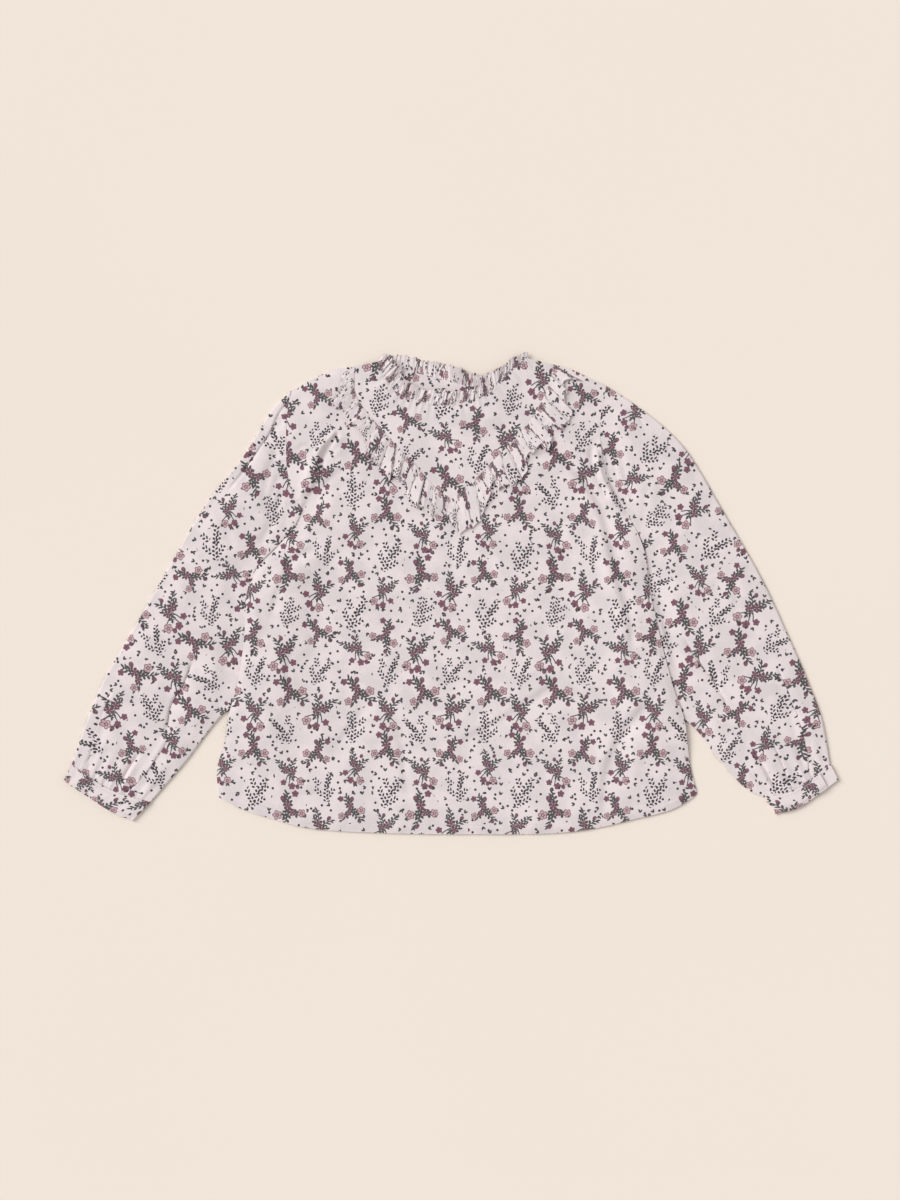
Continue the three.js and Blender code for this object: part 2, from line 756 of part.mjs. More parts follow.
/** One ring of a sleeve's shell: over its upper layer and back under its lower one. */
function sleeveRing(row, inset, upperOf) {
  const last = row.length - 1;
  const width = Math.hypot(row[last].x - row[0].x, row[last].y - row[0].y);
  const rim = (distance) => (distance * last) / width;
  const columns = [rim(inset), rim(inset + RIM)]
    .concat(Array.from({ length: last - 1 }, (_, i) => i + 1))
    .concat([last - rim(inset + RIM), last - rim(inset)]);
  const places = columns.map((column) => {
    const k = Math.min(Math.floor(column), last - 1);
    const t = column - k;
    return {
      x: lerp(row[k].x, row[k + 1].x, t),
      y: lerp(row[k].y, row[k + 1].y, t),
      u: column / last,
    };
  });
  const end = places.length - 1;
  const over = places.slice(1, end).map((p) => [p.x, p.y, upperOf(p) - inset]);
  const below = places.slice(1, end).map((p) => [p.x, p.y, inset]).reverse();
  const edge = (p) => [p.x, p.y, SLEEVE_PLIES / 2];
  return [edge(places[0]), ...over, edge(places[end]), ...below];
}

/** One cuff: a band open at its outer end, where its lower layer sticks out as the button tab. */
function makeCuff(name, seamRows, away) {
  const { free, tab } = CUFFS[name];
  const seamLine = shifted(stations(seamRows, CELLS.cuff), away * CUFF_GAP);
  const freeLine = stations(free, CELLS.cuff);
  const last = CELLS.cuff;
  const width = Math.hypot(seamLine[last].x - seamLine[0].x, seamLine[last].y - seamLine[0].y);
  const underAt = (s) => BUTTON_LIFT * (1 - ease((s - CUFF_BUTTON_REST) / CUFF_RAMP));
  const upperAt = (s) => underAt(s) + 2 * CUFF_WALL + SEAM_GAP
    + CUFF_LOFT * ease((s - tab) / CUFF_RAMP) * ease((width - s) / CUFF_RAMP);
  const steps = (from, to) =>
    Array.from({ length: last + 1 }, (_, i) => lerp(from, to, i / last));
  const section = (inset) => [
    ...steps(tab, width - RIM - inset).map((s) => ({ s, z: upperAt(s) - inset })),
    { s: width - inset, z: CUFF_WALL + SEAM_GAP / 2 },
    ...steps(width - RIM - inset, 0).map((s) => ({ s, z: underAt(s) + inset })),
  ];
  const place = (line, s) => {
    const at = (s / width) * last;
    const k = Math.min(Math.floor(at), last - 1);
    return [
      lerp(line[k].x, line[k + 1].x, at - k),
      lerp(line[k].y, line[k + 1].y, at - k),
    ];
  };
  const band = (inset) =>
    [0, 0.5, 1].map((depth) =>
      section(inset).map(({ s, z }) => {
        const [seamX, seamY] = place(seamLine, s);
        const [freeX, freeY] = place(freeLine, s);
        return [lerp(seamX, freeX, depth), lerp(seamY, freeY, depth), z];
      }),
    );
  return shells(`cuff_${name}`, band(0), band(CUFF_WALL), false);
}

/** One button, face down under the cloth that it is sewn to. */
function makeButton(name) {
  const radius = BUTTON_DIAMETER / 2;
  const profile = [
    new THREE.Vector2(0, BUTTON_HOLLOW),
    new THREE.Vector2(radius - 2 * BUTTON_RIM, BUTTON_HOLLOW),
    new THREE.Vector2(radius - BUTTON_RIM, 0),
    new THREE.Vector2(radius, BUTTON_RIM),
    new THREE.Vector2(radius, BUTTON_HEIGHT),
    new THREE.Vector2(0, BUTTON_HEIGHT),
  ];
  const geometry = new THREE.LatheGeometry(profile, BUTTON_SIDES);
  const button = new THREE.Mesh(geometry, new THREE.MeshStandardMaterial(FINISHES.button));
  button.rotation.x = Math.PI / 2;
  button.position.set(BUTTON_PLACES[name].x, BUTTON_PLACES[name].y, 0);
  button.name = name;
  return button;
}

const blouse = new THREE.Group();
blouse.add(makeBack(), makeFront(), makeYoke(), makeRuffle());
blouse.add(...Object.keys(FRILLS).map(makeFrill));
blouse.add(makeSleeve("left", SLEEVE_LEFT, seams.armholeLeft, 1));
blouse.add(makeSleeve("right", SLEEVE_RIGHT, seams.armholeRight, -1));
blouse.add(makeCuff("left", SLEEVE_LEFT.cuff, -1));
blouse.add(makeCuff("right", SLEEVE_RIGHT.cuff, 1));
blouse.add(...Object.keys(BUTTON_PLACES).map(makeButton));

// The origin is the middle of the blouse's plan, on the table
const bounds = new THREE.Box3().setFromObject(blouse);
const middle = bounds.getCenter(new THREE.Vector3());
blouse.position.set(-middle.x, -middle.y, -bounds.min.z);

export default blouse;
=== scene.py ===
"""A child's long-sleeved blouse of printed cotton, laid flat on a pale table.

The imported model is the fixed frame. Each piece of cloth here is a thin sheet on the form of its
solid, with the creases of soft cotton, its sewing, and a print of small sprigs. Plans and heights
are in millimetres from the middle of the cutting plan; meshes are made in metres in the frame.
"""

import json
import logging
import math
from collections.abc import Callable, Sequence
from dataclasses import dataclass, field
from enum import Enum

import bpy
import numpy as np
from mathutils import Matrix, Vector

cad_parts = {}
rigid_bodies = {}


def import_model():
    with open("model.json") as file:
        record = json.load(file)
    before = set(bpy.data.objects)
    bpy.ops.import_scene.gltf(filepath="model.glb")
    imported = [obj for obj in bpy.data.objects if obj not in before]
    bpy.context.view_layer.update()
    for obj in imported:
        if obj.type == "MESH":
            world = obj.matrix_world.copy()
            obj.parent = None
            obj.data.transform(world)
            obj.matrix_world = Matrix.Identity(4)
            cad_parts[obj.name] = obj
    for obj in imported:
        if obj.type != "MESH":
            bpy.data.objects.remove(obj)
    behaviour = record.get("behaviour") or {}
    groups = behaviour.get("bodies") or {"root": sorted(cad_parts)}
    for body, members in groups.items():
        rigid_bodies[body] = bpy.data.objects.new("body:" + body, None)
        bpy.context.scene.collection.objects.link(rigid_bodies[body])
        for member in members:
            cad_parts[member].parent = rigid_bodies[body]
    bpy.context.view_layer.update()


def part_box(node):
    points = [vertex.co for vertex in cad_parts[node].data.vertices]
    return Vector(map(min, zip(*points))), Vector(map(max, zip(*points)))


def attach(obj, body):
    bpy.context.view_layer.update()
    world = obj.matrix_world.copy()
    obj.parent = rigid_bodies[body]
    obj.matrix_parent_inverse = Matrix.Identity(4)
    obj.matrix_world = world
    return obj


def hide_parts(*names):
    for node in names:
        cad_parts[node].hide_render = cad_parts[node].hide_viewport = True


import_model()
LOG = logging.getLogger("blouse")

Array = np.ndarray
Places = Sequence[tuple[float, float]]

MM = 0.001
PLAN_SHIFT = np.array((1.5, 0.23))  # the frame's origin, seen from the cutting plan's
WALL = 1.2  # the solids' wall, whose outer face the sheets follow
CLOTH = 0.6  # a sheet with its turned edges
SEAM_GAP = 0.3
SLEEVE_PLIES = 2 * WALL + SEAM_GAP
SLEEVE_LIFT = SLEEVE_PLIES + SEAM_GAP
BUTTON_LIFT = 2.1
RIM_ANGLE = math.radians(70)  # a sheet's cut edges stay crisp, its folds are shaded smooth


class Side(Enum):
    """The two sides of the blouse, as the camera sees them."""

    LEFT = "left"
    RIGHT = "right"

    @property
    def inward(self) -> int:
        """The sign of X that points from this side towards the middle."""
        return 1 if self is Side.LEFT else -1


# Lines and grids in plan


def ease(t: Array | float) -> Array:
    """Rise smoothly from 0 to 1 as t goes from 0 to 1."""
    t = np.clip(t, 0, 1)
    return t * t * (3 - 2 * t)


def along(points: Array) -> Array:
    """Give the distance along a row of points at each of them."""
    return np.concatenate(([0], np.cumsum(np.linalg.norm(np.diff(points, axis=0), axis=1))))


def stations(rows: Places, cells: int, pace: float = 1) -> Array:
    """Space points along one smooth centripetal curve through some places.

    Args:
        rows: The places that the curve passes.
        cells: How many stretches to divide it into.
        pace: 1 for even stretches, above 1 for shorter ones at the start.

    Returns:
        The points, one more than there are cells.
    """
    p = np.array(rows, float)
    p = np.vstack((2 * p[0] - p[1], p, 2 * p[-1] - p[-2]))
    fine = []
    for a, b, c, d in zip(p, p[1:], p[2:], p[3:]):
        ta = np.linalg.norm(b - a) ** 0.5
        tb = np.linalg.norm(c - b) ** 0.5
        tc = np.linalg.norm(d - c) ** 0.5
        m0 = ((b - a) / ta - (c - a) / (ta + tb) + (c - b) / tb) * tb
        m1 = ((c - b) / tb - (d - b) / (tb + tc) + (d - c) / tc) * tb
        t = np.linspace(0, 1, 40, endpoint=False)[:, None]
        fine.append(
            b + m0 * t + (-3 * b + 3 * c - 2 * m0 - m1) * t**2 + (2 * b - 2 * c + m0 + m1) * t**3
        )
    fine = np.vstack((*fine, p[-2]))
    s = along(fine)
    at = s[-1] * np.linspace(0, 1, cells + 1) ** pace
    return np.stack([np.interp(at, s, fine[:, k]) for k in (0, 1)], 1)


def between(points: Array, cells: int) -> Array:
    """Space points at even index steps along straight runs between the given ones."""
    at = np.linspace(0, len(points) - 1, cells + 1)
    k = np.arange(len(points))
    return np.stack([np.interp(at, k, np.array(points)[:, i]) for i in (0, 1)], 1)


def joined(*runs: Array) -> Array:
    """Join runs end to end, with each shared end kept once."""
    return np.vstack((runs[0], *(run[1:] for run in runs[1:])))


def normals(points: Array) -> Array:
    """Give the unit normals of a row of points, to the left of its direction."""
    d = np.gradient(points, axis=0)
    d /= np.linalg.norm(d, axis=1, keepdims=True)
    return np.stack((-d[:, 1], d[:, 0]), 1)


def fill(bottom: Array, top: Array, left: Array, right: Array) -> Array:
    """Fill four edges with a grid whose rows run from the bottom edge to the top one."""
    u = np.linspace(0, 1, len(bottom))[None, :, None]
    v = np.linspace(0, 1, len(left))[:, None, None]
    corners = (1 - v) * ((1 - u) * bottom[0] + u * bottom[-1]) + v * ((1 - u) * top[0] + u * top[-1])
    return (1 - v) * bottom + v * top + (1 - u) * left[:, None] + u * right[:, None] - corners


def nearest(points: Array, row: Array) -> tuple[Array, Array]:
    """Measure from points to a row of places.

    Args:
        points: The points, N by 2.
        row: The places that the row joins.

    Returns:
        The signed distance, above zero on the left of the row, and the distance along it.
    """
    best = np.full(len(points), np.inf)
    sign, where = np.ones(len(points)), np.zeros(len(points))
    s = along(row)
    for k, (a, b) in enumerate(zip(row, row[1:])):
        d = b - a
        size = d @ d
        if size == 0:
            continue
        off = points - a
        t = np.clip(off @ d / size, 0, 1)
        gap = np.linalg.norm(off - t[:, None] * d, axis=1)
        closer = gap < best
        best = np.where(closer, gap, best)
        sign = np.where(closer, np.sign(d[0] * off[:, 1] - d[1] * off[:, 0]), sign)
        where = np.where(closer, s[k] + t * math.sqrt(size), where)
    return best * sign, where


def distance(points: Array, *rows: Array) -> Array:
    """Give the distance from points to the nearest of some rows."""
    return np.min([np.abs(nearest(points, row)[0]) for row in rows], axis=0)


# Folds, creases and rumples


@dataclass(frozen=True)
class Fold:
    """A soft ridge (height above zero) or trough between two places."""

    x1: float
    y1: float
    x2: float
    y2: float
    height: float
    width: float

    def at(self, points: Array) -> Array:
        """Give the height that the fold adds."""
        d = distance(points, np.array(((self.x1, self.y1), (self.x2, self.y2)))) / self.width
        return self.height * np.exp(-d * d)


@dataclass(frozen=True)
class Crease:
    """A crease along a line, deepest in its middle.

    Depth is the groove's, or a ridge's when it is below zero; shoulder raises the cloth beside
    it. Lap is how far the cloth on the left of the line is drawn over the cloth on its right.
    """

    line: Places
    depth: float
    width: float = 4
    shoulder: float = 0.5
    lap: float = 0
    step: float = 0
    fade: float = 16

    def move(self, points: Array) -> Array:
        """Give the moves, N by 3, that the crease makes in the points."""
        row = stations(self.line, 12 * (len(self.line) - 1))
        d, s = nearest(points, row)
        end = along(row)[-1]
        share = ease(s / self.fade) * ease((end - s) / self.fade)
        t = d / self.width
        bell = np.exp(-t * t) * share
        swing = t * np.exp(0.5 - t * t / 2) * share
        k = np.searchsorted(along(row), s).clip(0, len(row) - 1)
        side = normals(row)[k] * (-self.lap * swing)[:, None]
        rise = -self.depth * (1 - 2 * self.shoulder * t * t) * bell + self.step * swing
        return np.column_stack((side, rise))


@dataclass(frozen=True)
class Rumple:
    """The faint uneven waves of soft cotton that has been smoothed by hand."""

    height: float
    shortest: float
    longest: float
    seed: int

    def at(self, points: Array) -> Array:
        """Give the height that the rumples add."""
        random = np.random.RandomState(self.seed)
        waves = 22
        total = np.zeros(len(points))
        for length in np.geomspace(self.shortest, self.longest, waves):
            turn, phase = random.uniform(0, 2 * math.pi, 2)
            k = 2 * math.pi / length * np.array((math.cos(turn), math.sin(turn)))
            total += np.sin(points @ k + phase) * (length / self.longest) ** 0.5
        return self.height * total / math.sqrt(waves)


# Cloth


@dataclass
class Sheet:
    """Grids of points of one cloth's outer face, and where each lies on the print.

    Each grid is (points rows by columns by 3, print places rows by columns by 2), in mm.
    """

    name: str
    grids: list[tuple[Array, Array]]
    thickness: float = CLOTH

    def build(self) -> bpy.types.Object:
        """Merge the grids into one thin closed shell, its inner face moved along the normals."""
        points, prints, quads, start = [], [], [], 0
        for grid, cloth in self.grids:
            rows, columns = grid.shape[:2]
            index = start + np.arange(rows * columns).reshape(rows, columns)
            points.append(grid.reshape(-1, 3))
            prints.append(cloth.reshape(-1, 2))
            quads.append(
                np.stack(
                    (index[:-1, :-1], index[:-1, 1:], index[1:, 1:], index[1:, :-1]), -1
                ).reshape(-1, 4)
            )
            start += rows * columns
        place, prints, quads = np.vstack(points), np.vstack(prints), np.vstack(quads)
        _, first, merged = np.unique(
            np.round(place, 3), axis=0, return_index=True, return_inverse=True
        )
        place, faces = place[first], merged.reshape(-1)[quads]
        inner = place - self.thickness * self.outward(place, faces)
        count = len(place)
        flip = faces[:, ::-1] + count
        edges = np.stack((faces, np.roll(faces, -1, 1)), -1).reshape(-1, 2)
        ends = np.stack((quads, np.roll(quads, -1, 1)), -1).reshape(-1, 2)
        key = np.sort(edges, 1) @ (count, 1)
        _, back, uses = np.unique(key, return_inverse=True, return_counts=True)
        rim = (uses[back.reshape(-1)] == 1) & (edges[:, 0] != edges[:, 1])
        a, b = edges[rim].T
        walls = np.stack((b, a, a + count, b + count), 1)
        wall_prints = ends[rim][:, (1, 0, 0, 1)]
        corners = np.vstack((faces, flip, walls))
        places = np.vstack((quads, quads[:, ::-1], wall_prints))
        return self.mesh(np.vstack((place, inner)), corners, prints[places])

    @staticmethod
    def outward(place: Array, faces: Array) -> Array:
        """Give the unit normals of the merged points."""
        across = place[faces[:, 2]] - place[faces[:, 0]]
        normal = np.cross(across, place[faces[:, 3]] - place[faces[:, 1]])
        total = np.zeros_like(place)
        for corner in faces.T:
            np.add.at(total, corner, normal)
        return total / np.maximum(np.linalg.norm(total, axis=1, keepdims=True), 1e-9)

    def mesh(self, place: Array, corners: Array, prints: Array) -> bpy.types.Object:
        """Make the Blender object.

        Args:
            place: The points in mm, from the middle of the cutting plan.
            corners: The four corners of each face; two of them may be the same.
            prints: The place on the print of each corner, in mm.

        Returns:
            The object, linked to the scene, with its print places in a UV map.
        """
        place = place + np.append(PLAN_SHIFT, 0)
        whole = np.all(corners != np.roll(corners, 1, 1), axis=1)
        faces, uvs = [], []
        for face, uv, good in zip(corners.tolist(), prints.tolist(), whole.tolist()):
            if not good:
                kept = [k for k in range(4) if face[k] != face[k - 1]]
                face, uv = [face[k] for k in kept], [uv[k] for k in kept]
            if len(face) > 2:
                faces.append(face)
                uvs.extend(uv)
        mesh = bpy.data.meshes.new(self.name)
        mesh.from_pydata((place * MM).tolist(), [], faces)
        layer = mesh.uv_layers.new(name="Print")
        layer.uv.foreach_set("vector", (np.array(uvs) * MM).ravel())
        mesh.shade_smooth()
        mesh.set_sharp_from_angle(angle=RIM_ANGLE)
        made = bpy.data.objects.new(self.name, mesh)
        bpy.context.scene.collection.objects.link(made)
        return made


def dress(piece: bpy.types.Object, material: bpy.types.Material, *nodes: str) -> bpy.types.Object:
    """Give a piece its material and body, and let it stand for its CAD nodes."""
    piece.data.materials.append(material)
    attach(piece, "root")
    if nodes:
        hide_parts(*nodes)
    return piece


def turned(points: Array, centre: tuple[float, float], angle: float) -> Array:
    """Turn places about a centre, so that a piece is cut on its own grain."""
    c, s = math.cos(angle), math.sin(angle)
    off = points - centre
    return off @ np.array(((c, s), (-s, c)))


# The cutting plan

HEM = (
    (-222, -194), (-200, -205), (-170.5, -214.5), (-138, -223), (-60.5, -228), (16.5, -229),
    (97.5, -228), (132.5, -224), (169.5, -215.5), (209.5, -205), (232.5, -191),
)
SIDES = {
    Side.LEFT: (
        (-222, -194), (-223.5, -168), (-216, -139.5), (-212.5, -116), (-205.5, -92),
        (-198, -46.5), (-194.5, 3), (-185, 24), (-166.5, 43.5), (-148.5, 64.5), (-142, 79),
    ),
    Side.RIGHT: (
        (232.5, -191), (226.5, -168), (223, -144.5), (220, -120.5), (210.5, -93),
        (198, -46.5), (192.5, -22), (185.5, 8.5), (183, 36), (170.5, 67.5), (157, 88.5),
    ),
}
ARMHOLES = {
    Side.LEFT: (
        (-142, 79), (-152.5, 96), (-157, 117), (-158, 140.5), (-157, 169), (-153.5, 192),
    ),
    Side.RIGHT: (
        (157, 88.5), (147, 109), (142, 131), (140, 155), (142, 178.5), (146, 196.5),
    ),
}
SHOULDERS = {
    Side.LEFT: ((-153.5, 192), (-134.5, 202.5), (-112.5, 212), (-95.5, 215)),
    Side.RIGHT: ((98.5, 216.5), (113.5, 212), (130.5, 204), (146, 196.5)),
}
VEES = {
    Side.LEFT: (
        (-0.5, 86.5), (-14.5, 95), (-40.5, 123.5), (-72.5, 157), (-94.5, 188), (-95.5, 215),
    ),
    Side.RIGHT: (
        (-0.5, 86.5), (16.5, 100), (43, 126.5), (68, 151), (83, 174), (93.5, 195), (98.5, 216.5),
    ),
}
NECK_FRONT = (
    (-71, 219.5), (-66, 207), (-57.5, 195), (-41.5, 185), (-20.5, 179.5), (-2.5, 178.5),
    (16.5, 182.5), (34.5, 189), (43, 199.5), (52, 209), (61.5, 216.5), (71.5, 222.5),
)
NECK_BACKS = {
    Side.LEFT: ((-71, 219.5), (-48, 212.5), (-27, 207), (13, 196.5)),
    Side.RIGHT: ((13, 196.5), (26, 196), (38, 202.5), (50, 212), (71.5, 222.5)),
}
SLIT_FOOT = (11, 128)
SLIT_WIDTH = 1.0
NECK_BUTTON = (20, 188)

BODY_FOLDS = (
    Fold(-132, 118, -98, 150, height=1.2, width=9),
    Fold(-98, 140, -52, 106, height=-0.9, width=7),
    Fold(116, 60, 140, -44, height=1.0, width=10),
    Fold(166, 52, 178, -50, height=1.5, width=8),
    Fold(-140, 60, -158, 10, height=1.0, width=9),
    Fold(-120, 42, -150, 32, height=-0.8, width=8),
    Fold(-150, 32, -174, -32, height=-1.0, width=8),
    Fold(-150, -46, -154, -98, height=-0.9, width=8),
    Fold(-110, -147, -82, -108, height=-1.0, width=8),
    Fold(-48, -138, -42, -186, height=-1.0, width=7),
    Fold(-4, -83, 40, -83, height=-0.8, width=8),
    Fold(108, -122, 132, -134, height=-0.9, width=7),
    Fold(190, -99, 160, -138, height=-1.0, width=8),
    Fold(172, -150, 168, -190, height=1.1, width=9),
)
BODY_CREASES = (
    Crease(((-94, 120), (-116, 110), (-129, 98), (-142, 84)),
           depth=1.1, width=5, shoulder=0.3, step=-0.6),
    Crease(((-111, 149), (-122, 130), (-129, 107), (-135, 90), (-146, 72), (-160, 52)),
           depth=0.9, width=6, lap=-2.2, step=-0.9),
    Crease(((-107, 154), (-116, 142), (-123, 130), (-127, 112)),
           depth=2.6, width=2.4, shoulder=0.5, step=-0.9, fade=7),
    Crease(((-126, 114), (-134, 92), (-146, 72), (-158, 55)), depth=1.2, width=2, fade=9),
    Crease(((-128, 126), (-108, 140), (-92, 148)), depth=0.8, width=3.5),
    Crease(((-150, 136), (-138, 140), (-127, 132)), depth=0.7, width=3, fade=7),
    Crease(((70, 120), (86, 130), (99, 130), (118, 114), (137, 88), (149, 50), (156, 19),
            (168, -26), (171, -64)),
           depth=1.5, width=5.5, shoulder=0.3, step=-1.1, fade=22),
    Crease(((142, 152), (146, 122), (153, 98), (163, 76)),
           depth=2.4, width=2.3, shoulder=0.9, fade=14),
    Crease(((136.5, 140), (138.5, 124), (142.5, 108), (149, 94), (155, 82)),
           depth=-3.6, width=2.7, shoulder=0, fade=12),
    Crease(((134, 150), (132, 126), (141, 104), (150, 84)), depth=0.8, width=4),
    Crease(((-121, 42), (-150, 32), (-165, 0), (-174, -31)), depth=0.9, width=5, fade=20),
    Crease(((-196, 6), (-186, -24), (-189, -62)), depth=-0.8, width=5, fade=24),
    Crease(((-150, -46), (-156, -72), (-154, -99)), depth=0.7, width=4),
    Crease(((-48, -136), (-46, -162), (-43, -190)), depth=0.7, width=4),
    Crease(((-111, -148), (-98, -130), (-82, -108)), depth=0.7, width=4),
    Crease(((-6, -83), (18, -85), (41, -82)), depth=0.6, width=4),
    Crease(((-4, -147), (30, -130), (72, -104), (107, -79)),
           depth=0.8, width=5, step=0.6, fade=26),
    Crease(((105, -123), (118, -130), (133, -134)), depth=0.7, width=4),
    Crease(((191, -98), (160, -137), (146, -172), (143, -216)),
           depth=1.1, width=6, step=-0.7, fade=22),
    Crease(((-172, -190), (-146, -191), (-118, -188)), depth=0.7, width=4.5, step=0.5),
    Crease(((60, -30), (84, -12), (112, -4)), depth=0.45, width=6),
    Crease(((-70, 30), (-40, 44), (-14, 40)), depth=0.4, width=6),
    Crease(((-92, -24), (-70, -44), (-40, -52)), depth=0.45, width=6),
    Crease(((24, 62), (34, 40), (38, 8)), depth=0.4, width=7, fade=20),
)
SLEEVES_UNDER = {
    Side.LEFT: {"top": 66, "full_top": 34, "full_foot": -124, "foot": -160, "overlap": 42},
    Side.RIGHT: {"top": 76, "full_top": 46, "full_foot": -134, "foot": -168, "overlap": 38},
}


@dataclass
class Plan:
    """The seams of the body, and how high its layers lie over each other on the table."""

    wall: float = WALL
    body_loft: float = 1.4
    loft_limit: float = 3.6
    edge_ramp: float = 30
    hem_spring: float = 8
    ruffle_reach: float = 24
    fold_fade: float = 16
    lift_ramp: float = 26
    button_rest: float = 22
    folded_drop: float = 1.2
    folded_round: float = 3.2
    seam_drop: float = 0.12
    clear_of_back: float = 1.4
    rumple: Rumple = Rumple(height=0.2, shortest=14, longest=70, seed=3)

    def __post_init__(self) -> None:
        """Work out the seam lines that heights are measured from."""
        self.hem = stations(HEM, 40)
        self.side = {side: stations(SIDES[side], 36) for side in Side}
        self.armhole = {side: stations(ARMHOLES[side], 16) for side in Side}
        self.whole = {side: joined(self.side[side], self.armhole[side]) for side in Side}
        self.shoulder = {side: stations(SHOULDERS[side], 10) for side in Side}
        self.vee = {side: stations(VEES[side], 16) for side in Side}

    def waist(self, side: Side, cells: int) -> Array:
        """Give the half waist row between the armpit and the foot of the V, left to right."""
        ends = (ARMHOLES[side][0], VEES[side][0])
        return between(ends if side is Side.LEFT else ends[::-1], cells)

    def side_lift(self, points: Array, side: Side) -> Array:
        """Give how far the sleeve below raises one side of the body."""
        zone, edge = SLEEVES_UNDER[side], self.side[side]
        y = points[:, 1]
        share = ease((zone["top"] - y) / (zone["top"] - zone["full_top"])) * ease(
            (y - zone["foot"]) / (zone["full_foot"] - zone["foot"])
        )
        inside = (points[:, 0] - np.interp(y, edge[:, 1], edge[:, 0])) * side.inward
        return SLEEVE_LIFT * share * (1 - ease((inside - zone["overlap"]) / self.lift_ramp))

    def lift(self, points: Array) -> Array:
        """Give the height of the back's underside above the table."""
        past = np.linalg.norm(points - NECK_BUTTON, axis=1) - self.button_rest
        button = BUTTON_LIFT * (1 - ease(past / self.edge_ramp))
        sides = [self.side_lift(points, side) for side in Side]
        return np.max((*sides, button), axis=0)

    def front_under(self, points: Array) -> Array:
        """Give the height of the front solid's underside."""
        rise = (
            ease(distance(points, *self.whole.values()) / self.edge_ramp)
            * ease(distance(points, *self.shoulder.values()) / self.edge_ramp)
            * ease((distance(points, self.hem) + self.hem_spring) / self.edge_ramp)
        )
        clear = distance(points, *self.vee.values()) - self.ruffle_reach
        folds = sum(fold.at(points) for fold in BODY_FOLDS) * ease(clear / self.fold_fade)
        loft = np.clip(self.body_loft + folds, 0, self.loft_limit) * rise
        return self.lift(points) + self.wall + SEAM_GAP + loft

    def front_face(self, points: Array) -> Array:
        """Give the front's outer face: its points, N by 3, with creases and rumples."""
        armhole = distance(points, *self.armhole.values())
        folded = distance(points, *self.side.values(), *self.shoulder.values())
        edge = np.minimum(armhole, folded)
        face = np.column_stack((points, self.front_under(points) + self.wall - 0.1))
        clear = ease((distance(points, *self.vee.values()) - 6) / 18)
        still = ease(edge / 8) * clear
        face[:, 2] += self.rumple.at(points) * ease(edge / 20)
        for crease in BODY_CREASES:
            move = crease.move(points)
            face[:, :2] += move[:, :2] * still[:, None]
            face[:, 2] += move[:, 2] * clear * ease(folded / 4)
        face[:, 2] -= self.folded_drop * np.exp(-((folded / self.folded_round) ** 2))
        face[:, 2] -= self.seam_drop * np.exp(-((armhole / 1.4) ** 2))
        face[:, 2] = np.maximum(face[:, 2], self.lift(points) + self.clear_of_back)
        return face


# The body


def shaped(grid: Array, face: Callable[[Array], Array]) -> Array:
    """Raise a plan grid to a face, keeping its rows and columns."""
    return face(grid.reshape(-1, 2)).reshape(*grid.shape[:2], 3)


